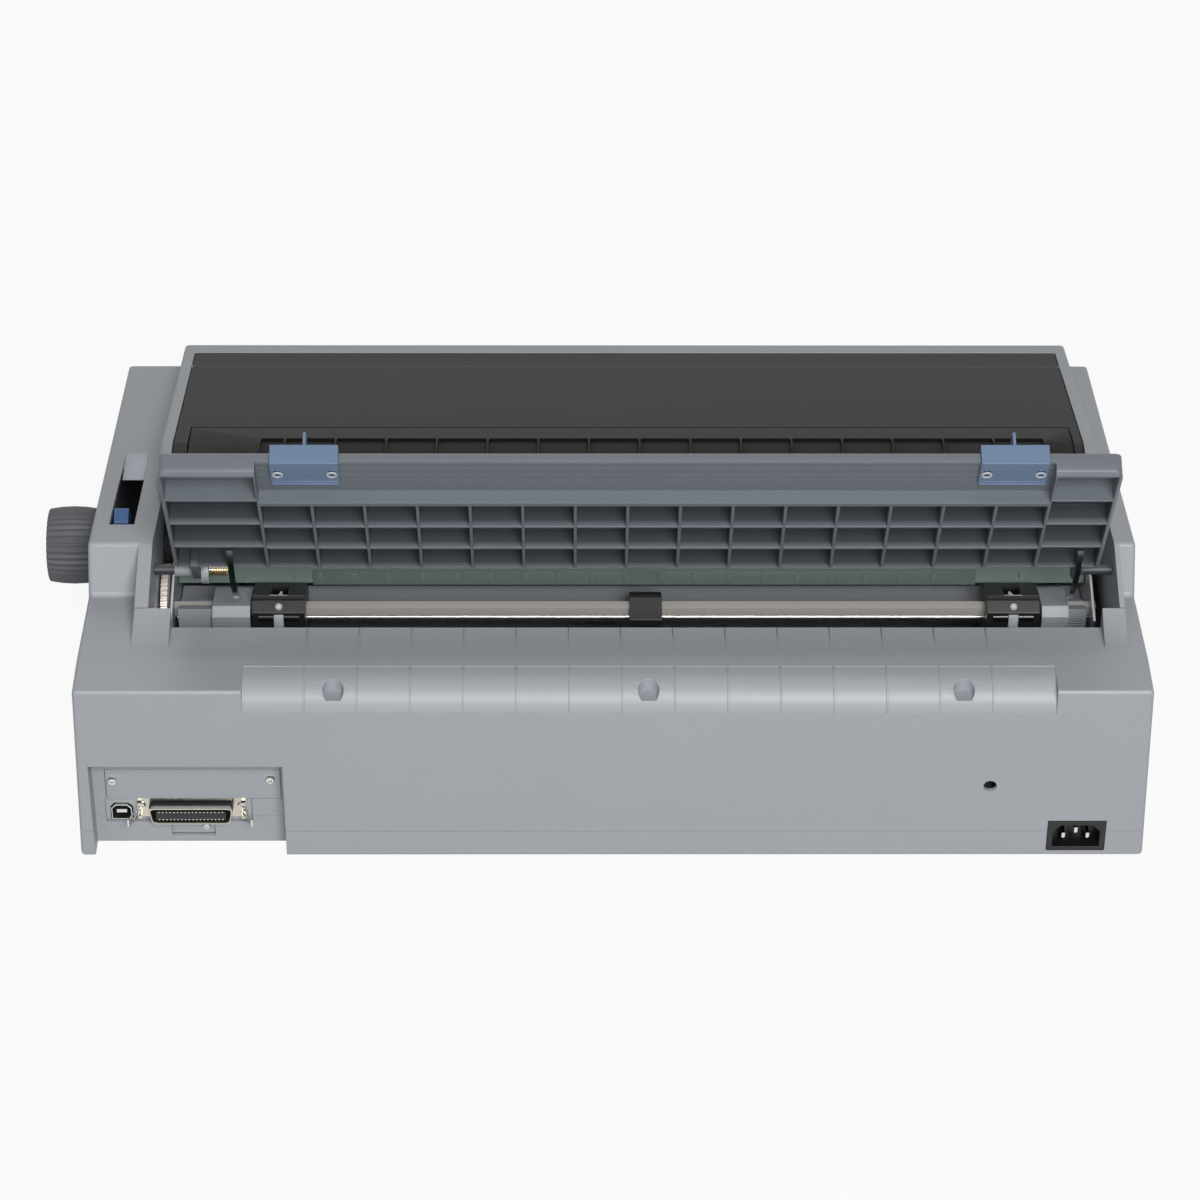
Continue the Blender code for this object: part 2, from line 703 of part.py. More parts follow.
def crest_ribs(arc):
    """Thin raised ribs that run from the ledge over the crest, at one pitch."""
    top = arc + [(depth(LEDGE_DEPTH - EDGE_RADIUS), REAR_HEIGHT + REAR_CROWN / 2)]
    raised = [(y + (RIB_HEIGHT if index < len(arc) / 2 else 0), z + RIB_HEIGHT) for index, (y, z) in enumerate(top)]
    sunk = [(y - (RIB_HEIGHT if index < len(arc) / 2 else 0), z - RIB_HEIGHT) for index, (y, z) in enumerate(top)]
    outline = raised + list(reversed(sunk))
    form = bmesh.new()
    for index in range(RIB_COUNT):
        middle = RIB_CENTRE + (index - (RIB_COUNT - 1) / 2) * RIB_PITCH
        rib = prism("rib", outline, "X", middle - RIB_WIDTH / 2, middle + RIB_WIDTH / 2, cutter=True)
        form.from_mesh(rib.data)
        bpy.data.objects.remove(rib)
    mesh = bpy.data.meshes.new("crest_ribs")
    form.to_mesh(mesh)
    form.free()
    return as_object("crest_ribs", mesh, cutter=True)


def interface_tub(name, low, high):
    """The walls round the recess that holds the connectors."""
    return box(name, (PORT_RIGHT - CASE_WALL, depth(PORT_DEPTH + CASE_WALL), low),
               (PORT_LEFT + CASE_WALL, depth(CASE_WALL / 2), high), cutter=True)


def interface_cuts():
    """The recess itself and the windows in its back wall."""
    front, back = depth(-OVERRUN), depth(PORT_DEPTH + CASE_WALL + OVERRUN)
    return [
        box("port_recess", (PORT_RIGHT, depth(PORT_DEPTH), -OVERRUN), (PORT_LEFT, front, PORT_TOP), True),
        box("slot_window", (SLOT_RIGHT, back, SLOT_BOTTOM), (SLOT_LEFT, front, SLOT_TOP), True),
        box("socket_window", (SOCKET_RIGHT, back, SOCKET_BOTTOM), (SOCKET_LEFT, front, SLOT_BOTTOM + GAP), True),
        box("tab_window", (TAB_RIGHT, back, TAB_BOTTOM), (TAB_LEFT, front, SOCKET_BOTTOM + GAP), True),
    ]


def inlet_cut():
    return box("inlet_cut", (-INLET_FAR - GAP, depth(INLET_LENGTH), INLET_BOTTOM - GAP),
               (-INLET_NEAR + GAP, depth(-OVERRUN), INLET_TOP + GAP), True)


def make_lower_case():
    """Base moulding: a tray with screw posts, foot recesses and the lower half of the port recess."""
    tray = outer_form("lower_case")
    combine(tray, [everything_above(SEAM_HEIGHT)], 'DIFFERENCE')
    floor = inner_form("tray_hollow")
    tub = interface_tub("lower_tub", CASE_BOTTOM + CASE_WALL / 2, SEAM_HEIGHT)
    cut(tray, floor)
    posts = [
        rod("post", "Z", (x, y, CASE_BOTTOM + CASE_WALL / 2), POST_HEIGHT, BOSS_RADIUS, cutter=True, sides=16)
        for x, y in frame_posts()
    ]
    floor_top = CASE_BOTTOM + CASE_WALL / 2
    spindle = rod("belt_spindle", "Z", (-PULLEY_X, depth(BELT_DEPTH), floor_top), BELT_HEIGHT + BELT_TALL - floor_top,
                  PULLEY_RADIUS, True)
    join(tray, tub, spindle, *posts)
    bores = [
        rod("bore", "Z", (x, y, CASE_BOTTOM + CASE_WALL + POST_HEIGHT / 2), POST_HEIGHT, BOSS_BORE, True, 12)
        for x, y in frame_posts()
    ]
    recesses = [
        rod("foot_recess", "Z", (x, y, CASE_BOTTOM - OVERRUN), OVERRUN + FOOT_RECESS / 2, FOOT_RADIUS + GAP, True)
        for x, y in foot_places()
    ]
    cut(tray, *interface_cuts(), inlet_cut(), *bores, *recesses)
    return finish(tray, CASE_GREY)


def foot_places():
    x, y = CASE_WIDTH / 2 - FOOT_INSET_X, CASE_DEPTH / 2 - FOOT_INSET_Y
    return [(x, y), (-x, y), (x, -y), (-x, -y)]


def frame_posts():
    """Posts under the feet of the two side frames."""
    return [(side, depth(place)) for side in (FRAME_NEAR, -FRAME_FAR) for place in (FRAME_REAR, FRAME_FRONT)]


def make_feet():
    for name, (x, y) in zip(("foot_rear_knob_side", "foot_rear_far_side", "foot_front_knob_side",
                             "foot_front_far_side"), foot_places()):
        stem = CASE_BOTTOM + FOOT_RECESS / 2 - GAP
        foot = lathe(name, [(0, stem), (FOOT_RADIUS, stem), (FOOT_RADIUS, FOOT_CHAMFER),
                            (FOOT_RADIUS - FOOT_CHAMFER, 0), (0, 0)], "Z", (x, y, 0), steps=16)
        finish(foot, RUBBER, math.radians(40))


def cheek_outline(front, low):
    """Side view of a cheek: the ramp up from the ledge, the shoulder line and a straight foot."""
    return [
        (depth(LEDGE_DEPTH), low),
        (depth(front), low),
        (depth(front), panel_height(front) - GAP),
        (depth(SHOULDER_FRONT), SHOULDER_FRONT_HEIGHT - GAP),
        (depth(SHOULDER_REAR), SHOULDER_HEIGHT - GAP),
        (depth(LEDGE_DEPTH), ramp_height(LEDGE_DEPTH)),
    ]


def ramp_height(distance):
    rise = (SHOULDER_HEIGHT - REAR_HEIGHT) / (SHOULDER_REAR - RAMP_END)
    return REAR_HEIGHT + (distance - RAMP_END) * rise


def ramp_outline():
    under = REAR_HEIGHT - CASE_WALL
    return [(depth(RAMP_END), under), (depth(LEDGE_DEPTH + CASE_WALL), under),
            (depth(LEDGE_DEPTH + CASE_WALL), ramp_height(LEDGE_DEPTH + CASE_WALL)),
            (depth(RAMP_END), REAR_HEIGHT)]


def shoulder_slope_height(distance):
    rise = (SHOULDER_HEIGHT - SHOULDER_FRONT_HEIGHT) / (SHOULDER_FRONT - SHOULDER_REAR)
    return SHOULDER_HEIGHT - (distance - SHOULDER_REAR) * rise


def lever_ramp():
    """The shallow finger ramp in front of the lever's slot."""
    outline = [
        (depth(LEVER_SLOT_FRONT - OVERRUN), shoulder_slope_height(LEVER_SLOT_FRONT) - LEVER_RAMP_DEPTH),
        (depth(LEVER_RAMP_END), shoulder_slope_height(LEVER_RAMP_END)),
        (depth(LEVER_RAMP_END), SHOULDER_HEIGHT + OVERRUN),
        (depth(LEVER_SLOT_FRONT - OVERRUN), SHOULDER_HEIGHT + OVERRUN),
    ]
    return prism("lever_ramp", outline, "X", LEVER_SLOT_INNER, LEVER_SLOT_OUTER, cutter=True)


def make_upper_case():
    """Main moulding: rear wall, crest, ledge, both shoulders and the front brow."""
    shell = outer_form("upper_case")
    cut(shell, everything_below(SEAM_HEIGHT + GAP))
    cut(shell, inner_form("case_hollow"))
    low = SHOULDER_HEIGHT - CHEEK_DEPTH
    bay_top = SHOULDER_HEIGHT + OVERRUN
    bay = box("bay_opening", (-BAY_RIGHT, depth(BAY_FRONT), low), (BAY_LEFT, depth(LEDGE_DEPTH), bay_top), True)
    cut(shell, bay)
    cheeks = []
    for inner, outer, ramp_inner, ramp_outer in (
            (BAY_LEFT, BAY_LEFT + CHEEK_WALL, BAY_LEFT - RAMP_INSET, BAY_LEFT + RAMP_WIDTH_KNOB_SIDE),
            (-BAY_RIGHT - CHEEK_WALL, -BAY_RIGHT, -BAY_RIGHT - CHEEK_WALL, -BAY_RIGHT + RAMP_INSET_FAR_SIDE)):
        cheeks.append(prism("cheek", cheek_outline(BAY_FRONT + CASE_WALL / 2, low), "X", inner, outer, True))
        cheeks.append(prism("ramp", ramp_outline(), "X", ramp_inner, ramp_outer, cutter=True))
    crest_tub = interface_tub("upper_tub", SEAM_HEIGHT + GAP, PORT_TOP + CASE_WALL)
    join(shell, crest_tub, *cheeks)
    high = [(depth(LEDGE_DEPTH), REAR_HEIGHT - CASE_WALL), (depth(SHOULDER_REAR + CASE_WALL), REAR_HEIGHT - CASE_WALL),
            (depth(SHOULDER_REAR + CASE_WALL), SHOULDER_HEIGHT - CASE_WALL / 2),
            (depth(SHOULDER_REAR), SHOULDER_HEIGHT - GAP), (depth(LEDGE_DEPTH), ramp_height(LEDGE_DEPTH))]
    join(shell, prism("high_ramp", high, "X", BAY_LEFT, BAY_LEFT + RAMP_WIDTH_KNOB_SIDE, cutter=True))
    scoop, arc = crest_scoop()
    cut(shell, scoop)
    join(shell, crest_ribs(arc))
    dimples = [
        rod("dimple", "Z", (RIB_CENTRE + place * DIMPLE_PITCH, depth(DIMPLE_DEPTH), DIMPLE_FLOOR),
            REAR_HEIGHT + OVERRUN - DIMPLE_FLOOR, DIMPLE_RADIUS, cutter=True)
        for place in (-1, 0, 1)
    ]
    slot_top = SHOULDER_HEIGHT + OVERRUN
    lever_slot = box("lever_slot", (LEVER_SLOT_INNER, depth(LEVER_SLOT_FRONT), low),
                     (LEVER_SLOT_OUTER, depth(LEVER_SLOT_REAR), slot_top), True)
    knob_hole = rod("knob_hole", "X", (BAY_LEFT - OVERRUN, depth(PLATEN_DEPTH), PLATEN_HEIGHT),
                    CASE_WIDTH / 2, KNOB_HUB_RADIUS + 2 * CLEARANCE, cutter=True)
    vent = rod("service_hole", "Y", (-SERVICE_HOLE_X, depth(CASE_WALL + OVERRUN), SERVICE_HOLE_HEIGHT),
               CASE_WALL + 2 * OVERRUN, SERVICE_HOLE_RADIUS, cutter=True)
    entry = box("front_entry", (-ENTRY_WIDTH / 2, depth(CASE_DEPTH + OVERRUN), ENTRY_BOTTOM),
                (ENTRY_WIDTH / 2, depth(CASE_DEPTH - CASE_WALL - OVERRUN), ENTRY_TOP), True)
    switch_low = (-SWITCH_X - SWITCH_WIDTH / 2, depth(CASE_DEPTH + OVERRUN), SWITCH_BOTTOM)
    switch_high = (-SWITCH_X + SWITCH_WIDTH / 2, depth(CASE_DEPTH - SWITCH_DEPTH / 2), SWITCH_BOTTOM + SWITCH_HEIGHT)
    switch = box("switch_well", switch_low, switch_high, True)
    margin = Vector((SWITCH_RIM, 0, SWITCH_RIM))
    well_low = Vector(switch_low) - margin + Vector((0, OVERRUN + CASE_WALL / 2, 0))
    join(shell, box("switch_walls", well_low, Vector(switch_high) + margin + Vector((0, SWITCH_RIM, 0)), True))
    cut(shell, *interface_cuts(), inlet_cut(), *dimples, lever_slot, lever_ramp(), knob_hole, vent, entry, switch,
        panel_cut())
    return finish(shell, CASE_GREY, math.radians(26))


def panel_height(distance, lift=0.0):
    """Height of the front brow's slope at a place in front of the shoulder."""
    rise = (SHOULDER_FRONT_HEIGHT - FRONT_BROW_HEIGHT) / (FRONT_BROW - SHOULDER_FRONT)
    return SHOULDER_FRONT_HEIGHT - (distance - SHOULDER_FRONT) * rise + lift


def panel_cut():
    low = -CASE_WALL - OVERRUN
    outline = [(depth(PANEL_FRONT), panel_height(PANEL_FRONT, low)), (depth(PANEL_FRONT), REAR_HEIGHT),
               (depth(PANEL_REAR), REAR_HEIGHT), (depth(PANEL_REAR), panel_height(PANEL_REAR, low))]
    return prism("panel_cut", outline, "X", PANEL_FAR, PANEL_NEAR, cutter=True)


def make_control_panel():
    """Panel let into the front brow, with one window for each button."""
    rear, front = PANEL_REAR + GAP, PANEL_FRONT - GAP
    outline = [(depth(rear), panel_height(rear)), (depth(rear), panel_height(rear, -PANEL_THICK)),
               (depth(front), panel_height(front, -PANEL_THICK)), (depth(front), panel_height(front))]
    panel = prism("control_panel", outline, "X", PANEL_FAR + GAP, PANEL_NEAR - GAP)
    holes = [button_form("button_hole", place, CLEARANCE, PANEL_THICK * 2, True) for place in button_places()]
    cut(panel, *holes)
    finish(panel, PANEL_GREY)
    for index, place in enumerate(button_places()):
        button = button_form("button_%d" % (index + 1), place, 0.0, BUTTON_PROUD)
        finish(button, BUTTON_GREY)


def button_places():
    middle = (PANEL_NEAR + PANEL_FAR) / 2
    return [middle + (index - (BUTTON_COUNT - 1) / 2) * BUTTON_PITCH for index in range(BUTTON_COUNT)]


def button_form(name, place, margin, lift, cutter=False):
    """A button cap that stands square to the sloping panel."""
    middle = (PANEL_REAR + PANEL_FRONT) / 2
    half_wide, half_deep = BUTTON_WIDTH / 2 + margin, BUTTON_DEEP / 2 + margin
    cap = box(name, (-half_wide, -half_deep, -PANEL_THICK * 2), (half_wide, half_deep, lift), cutter)
    rise = (SHOULDER_FRONT_HEIGHT - FRONT_BROW_HEIGHT) / (FRONT_BROW - SHOULDER_FRONT)
    tilt = Matrix.Rotation(math.atan(rise), 4, 'X')
    centre = Matrix.Translation((place, depth(middle), panel_height(middle)))
    cap.data.transform(centre @ tilt)
    return cap


def make_front_parts():
    """Power switch and the flap over the front paper slot."""
    low, high = SWITCH_BOTTOM, SWITCH_BOTTOM + SWITCH_HEIGHT
    near, far = -SWITCH_X + SWITCH_WIDTH / 2, -SWITCH_X - SWITCH_WIDTH / 2
    middle = (low + high) / 2
    inner = CLEARANCE
    reach = SWITCH_HEIGHT / 2 - inner
    rocker_outline = [(depth(CASE_DEPTH - SWITCH_RIM), middle + reach), (depth(CASE_DEPTH - SWITCH_RIM * 2), middle),
                      (depth(CASE_DEPTH), middle - reach), (depth(CASE_DEPTH - SWITCH_DEPTH / 4), middle - reach),
                      (depth(CASE_DEPTH - SWITCH_DEPTH / 3), middle), (depth(CASE_DEPTH - SWITCH_DEPTH / 4), middle + reach)]
    rocker = prism("power_switch_rocker", rocker_outline, "X", far + inner, near - inner)
    set_pivot(rocker, (-SWITCH_X, depth(CASE_DEPTH - SWITCH_DEPTH / 4), middle))
    finish(rocker, BLACK)
    half = ENTRY_WIDTH / 2 - CLEARANCE
    hinge_height = ENTRY_BOTTOM + FRONT_COVER_PIN + CLEARANCE
    outer = depth(CASE_DEPTH)
    flap = box("front_cover", (-half, outer, ENTRY_BOTTOM + CLEARANCE),
               (half, outer + FRONT_COVER_THICK, ENTRY_TOP - CLEARANCE))
    lip = box("lip", (-half / 4, outer, ENTRY_TOP - CLEARANCE - FRONT_COVER_THICK),
              (half / 4, outer + FRONT_COVER_THICK * 2, ENTRY_TOP - CLEARANCE), True)
    join(flap, lip)
    set_pivot(flap, (0, outer + FRONT_COVER_THICK / 2, hinge_height))
    finish(flap, CASE_GREY)


def frame_outline():
    """Side view of a sheet side frame, with the open notch for the platen's bearing."""
    base = POST_HEIGHT + CASE_BOTTOM + CASE_WALL / 2 + GAP
    return [
        (depth(FRAME_REAR_END), base),
        (depth(FRAME_FRONT_END), base),
        (depth(FRAME_FRONT_END), RIBBON_LOW),
        (depth(RIBBON_REAR - OVERRUN), RIBBON_LOW),
        (depth(RIBBON_REAR - 2 * OVERRUN), FRAME_TOP),
        (depth(GUIDE_PLATE_DEPTH), FRAME_TOP),
        (depth(FRAME_REAR_END), FRAME_REAR_TOP),
    ]


def make_side_frames():
    """Two punched sheets that carry the platen, the carriage rails and the tractor shafts."""
    base = frame_outline()[0][1]
    train = [(RAIL_DEPTH, RAIL_HEIGHT, RAIL_RADIUS), (SUPPORT_DEPTH, SUPPORT_HEIGHT, SUPPORT_RADIUS)]
    for name, inner, outward in (("side_frame_knob_side", FRAME_NEAR, 1), ("side_frame_far_side", -FRAME_FAR, -1)):
        first, last = sorted((inner, inner + outward * FRAME_SHEET))
        frame = prism(name, frame_outline(), "X", first, last)
        feet = [box("foot", (min(inner, inner - outward * FRAME_FOOT), depth(place) - FRAME_FOOT / 2, base),
                    (max(inner, inner - outward * FRAME_FOOT) + outward * GAP * 0 + (FRAME_SHEET / 2 if outward > 0 else 0),
                     depth(place) + FRAME_FOOT / 2, base + FRAME_SHEET), True) for place in (FRAME_REAR, FRAME_FRONT)]
        if outward < 0:
            for foot in feet:
                foot.data.transform(Matrix.Translation((-FRAME_SHEET / 2, 0, 0)))
        join(frame, *feet)
        shelf_start, shelf_end = ((RIBBON_NEAR - RIBBON_LAP, inner + FRAME_SHEET / 2) if outward > 0 else
                                  (inner - FRAME_SHEET / 2, RIBBON_LAP - RIBBON_FAR))
        join(frame, box("ribbon_shelf", (shelf_start, depth(RIBBON_SHELF_FRONT), RIBBON_LOW + OVERRUN - GAP - FRAME_SHEET),
                        (shelf_end, depth(RIBBON_SHELF_REAR), RIBBON_LOW + OVERRUN - GAP), True))
        start = first - OVERRUN
        length = FRAME_SHEET + 2 * OVERRUN
        holes = [rod("hole", "X", (start, depth(place), height), length, radius + SHAFT_CLEARANCE, True)
                 for place, height, radius in train]
        holes.append(rod("platen_hole", "X", (start, depth(PLATEN_DEPTH), PLATEN_HEIGHT), length,
                         BEARING_RADIUS + SHAFT_CLEARANCE, True, 32))
        holes.append(rod("drive_hole", "X", (start, depth(drive_depth()), drive_height()), length,
                         DRIVE_SQUARE / math.sqrt(2) + CLEARANCE, True))
        if outward > 0:
            holes.append(rod("motor_hole", "X", (start, *pinion_place()), length, MOTOR_SHAFT + CLEARANCE, True))
        cut(frame, *holes)
        bearing_start = (first + last) / 2 - BEARING_WIDTH / 2
        collar = rod("collar", "X", (bearing_start, depth(PLATEN_DEPTH), PLATEN_HEIGHT), BEARING_WIDTH,
                     BEARING_RADIUS + CASE_WALL / 2, True, 32)
        cut(collar, rod("bore", "X", (bearing_start - OVERRUN, depth(PLATEN_DEPTH), PLATEN_HEIGHT),
                        BEARING_WIDTH + 2 * OVERRUN, PLATEN_SHAFT + SHAFT_CLEARANCE, True))
        join(frame, collar)
        if outward > 0:
            join(frame, *frame_studs(first))
        finish(frame, STEEL)


def frame_studs(start):
    """The idler's pin, pressed into the frame."""
    return [
        rod("idler_pin", "X", (start, *idler_place()), gear_start() + GEAR_WIDTH - start, MOTOR_SHAFT, True),
    ]


def drive_depth():
    return PLATEN_DEPTH - GEAR_MODULE * (PLATEN_TEETH + TRACTOR_TEETH) / 2 * math.cos(TRACTOR_ANGLE)


def drive_height():
    return PLATEN_HEIGHT - GEAR_MODULE * (PLATEN_TEETH + TRACTOR_TEETH) / 2 * math.sin(TRACTOR_ANGLE)


def train_place(distance):
    return (depth(PLATEN_DEPTH + distance * math.cos(TRAIN_ANGLE)), PLATEN_HEIGHT - distance * math.sin(TRAIN_ANGLE))


def idler_place():
    return train_place(GEAR_MODULE * (PLATEN_TEETH + IDLER_TEETH) / 2)


def pinion_place():
    return train_place(GEAR_MODULE * (PLATEN_TEETH + PINION_TEETH + 2 * IDLER_TEETH) / 2)


def gear(name, teeth, place, phase, bore, start, cutter=False):
    """A spur gear across X. A tooth points at the phase angle, measured from +Y towards +Z."""
    pitch_radius = GEAR_MODULE * teeth / 2
    tip = pitch_radius + GEAR_MODULE * 0.9
    root = pitch_radius - GEAR_MODULE * 1.15
    half_pitch = math.pi / teeth
    outline = []
    for tooth in range(teeth):
        centre = phase + 2 * half_pitch * tooth
        for share, radius in ((-1.35 * TOOTH_SHARE, root), (-0.6 * TOOTH_SHARE, tip),
                              (0.6 * TOOTH_SHARE, tip), (1.35 * TOOTH_SHARE, root)):
            angle = centre + share * half_pitch
            outline.append((place[0] + radius * math.cos(angle), place[1] + radius * math.sin(angle)))
    wheel = prism(name, outline, "X", start, start + GEAR_WIDTH, cutter)
    if bore:
        cut(wheel, rod("bore", "X", (start - OVERRUN, *place), GEAR_WIDTH + 2 * OVERRUN, bore, True))
    return wheel


def gear_start():
    """X of the gears' inner face, just outside the platen's collar in the frame."""
    return FRAME_NEAR + FRAME_SHEET / 2 + BEARING_WIDTH / 2 + GAP


def make_platen():
    """Rubber platen on its steel shaft, its bearings and its gear."""
    place = (depth(PLATEN_DEPTH), PLATEN_HEIGHT)
    near, far = PLATEN_NEAR, -PLATEN_FAR
    roller = rod("platen_roller", "X", (far, *place), near - far, PLATEN_RADIUS, sides=32)
    shaft_far = -FRAME_FAR - FRAME_SHEET - BEARING_WIDTH
    shaft = rod("shaft", "X", (shaft_far, *place), KNOB_END - KNOB_HUB_RADIUS - shaft_far, PLATEN_SHAFT, True)
    wheel = gear("gear", PLATEN_TEETH, place, train_direction(), 0, gear_start(), cutter=True)
    join(roller, shaft, wheel)
    finish(set_pivot(roller, (0, *place)), RUBBER, math.radians(30))


def train_direction():
    """Angle from the platen's axis to the feed motor's train, from +Y towards +Z."""
    return math.pi + TRAIN_ANGLE


def tractor_direction():
    """Angle from the platen's axis to the tractor shaft, from +Y towards +Z."""
    return -TRACTOR_ANGLE


def mesh_phase(teeth, own_phase_partner, partner_teeth, direction):
    """Phase that puts a gap of this gear where the partner's flank pattern meets it."""
    partner_pitch = 2 * math.pi / partner_teeth
    lead = (direction - own_phase_partner) / partner_pitch
    return direction + math.pi + (0.5 + lead) * 2 * math.pi / teeth


def make_gear_train():
    start = gear_start()
    idler_phase = mesh_phase(IDLER_TEETH, train_direction(), PLATEN_TEETH, train_direction())
    idler = gear("feed_idler_gear", IDLER_TEETH, idler_place(), idler_phase, MOTOR_SHAFT + SHAFT_CLEARANCE, start)
    finish(set_pivot(idler, (0, *idler_place())), WHITE)
    pinion_phase = mesh_phase(PINION_TEETH, idler_phase, IDLER_TEETH, train_direction())
    pinion = gear("feed_motor_pinion", PINION_TEETH, pinion_place(), pinion_phase, 0, start)
    shaft = rod("shaft", "X", (FRAME_NEAR - CASE_WALL, *pinion_place()), CASE_WALL * 2 + GEAR_WIDTH / 2, MOTOR_SHAFT, True)
    join(pinion, shaft)
    finish(set_pivot(pinion, (0, *pinion_place())), BRASS)
    motor_end = FRAME_NEAR - GAP
    motor = rod("feed_motor", "X", (motor_end - MOTOR_LENGTH, *pinion_place()), MOTOR_LENGTH, MOTOR_RADIUS, sides=24)
    cut(motor, rod("well", "X", (FRAME_NEAR - CASE_WALL - GAP, *pinion_place()), CASE_WALL * 2,
                   MOTOR_SHAFT + CLEARANCE, True))
    finish(motor, BLACK, math.radians(30))
    tractor_phase = mesh_phase(TRACTOR_TEETH, train_direction(), PLATEN_TEETH, tractor_direction())
    place = (depth(drive_depth()), drive_height())
    wheel = gear("tractor_gear", TRACTOR_TEETH, place, tractor_phase, 0, start, cutter=True)
    shaft = square_bar("tractor_drive_shaft", -FRAME_FAR - FRAME_SHEET - OVERRUN / 2, start + GEAR_WIDTH / 2,
                       DRIVE_SQUARE)
    join(shaft, wheel)
    finish(set_pivot(shaft, (0, *place)), NICKEL)


def square_bar(name, first, last, side, cutter=False):
    y, z = depth(drive_depth()), drive_height()
    return box(name, (first, y - side / 2, z - side / 2), (last, y + side / 2, z + side / 2), cutter)


def make_guide_plates():
    """The translucent sheet behind the platen and the grey sheet under it."""
    near, far = FRAME_NEAR - CLEARANCE, -FRAME_FAR + CLEARANCE
    back = depth(GUIDE_PLATE_DEPTH)
    plate = box("rear_paper_plate", (far, back - GUIDE_PLATE_THICK, GUIDE_PLATE_LOW),
                (near, back, GUIDE_PLATE_STEP))
    step = box("step", (far, back - GUIDE_PLATE_THICK, GUIDE_PLATE_STEP - GUIDE_PLATE_THICK),
               (near, back + GUIDE_PLATE_THICK, GUIDE_PLATE_TOP), True)
    form = bmesh.new()
    pitch = (near - far) / (GUIDE_BUMP_COUNT + 1)
    for index in range(GUIDE_BUMP_COUNT):
        x = far + pitch * (index + 1)
        bump = box("bump", (x - GUIDE_BUMP_WIDTH / 2, back - GUIDE_PLATE_THICK / 2, GUIDE_PLATE_STEP - GUIDE_BUMP_TALL),
                   (x + GUIDE_BUMP_WIDTH / 2, back + GUIDE_PLATE_THICK, GUIDE_PLATE_STEP), True)
        form.from_mesh(bump.data)
        bpy.data.objects.remove(bump)
    mesh = bpy.data.meshes.new("bumps")
    form.to_mesh(mesh)
    form.free()
    bumps = as_object("bumps", mesh, cutter=True)
    join(plate, step, bumps)
    finish(plate, GREEN_CLEAR)
    under = box("lower_paper_plate", (far, depth(LOWER_PLATE_FRONT), LOWER_PLATE_HEIGHT - GUIDE_PLATE_THICK),
                (near, depth(LOWER_PLATE_REAR), LOWER_PLATE_HEIGHT))
    finish(under, DARK_GREY)


def tractor_outline(inset=0.0):
    points = [
        (depth(TRACTOR_REAR), TRACTOR_BOTTOM),
        (depth(TRACTOR_FRONT - OVERRUN), TRACTOR_BOTTOM),
        (depth(TRACTOR_FRONT), TRACTOR_NOSE_HEIGHT),
        (depth(TRACTOR_FRONT), TRACTOR_FRONT_HEIGHT),
        (depth(TRACTOR_CROWN), TRACTOR_CROWN_HEIGHT),
        (depth(TRACTOR_REAR), TRACTOR_CROWN_HEIGHT - OVERRUN),
    ]
    return points


def tractor_cover_outline():
    """The thin lid that lies on the tractor's sloping top."""
    run = Vector((depth(TRACTOR_CROWN), TRACTOR_CROWN_HEIGHT)) - Vector((depth(TRACTOR_FRONT), TRACTOR_FRONT_HEIGHT))
    up = Vector((-run.y, run.x)).normalized()
    if up.y < 0:
        up = -up
    front = Vector((depth(TRACTOR_FRONT), TRACTOR_FRONT_HEIGHT)) + run.normalized() * LID_SETBACK + up * GAP
    rear = Vector((depth(TRACTOR_CROWN), TRACTOR_CROWN_HEIGHT)) + up * GAP
    return [tuple(front), tuple(front + up * TRACTOR_COVER_THICK), tuple(rear + up * TRACTOR_COVER_THICK), tuple(rear)]


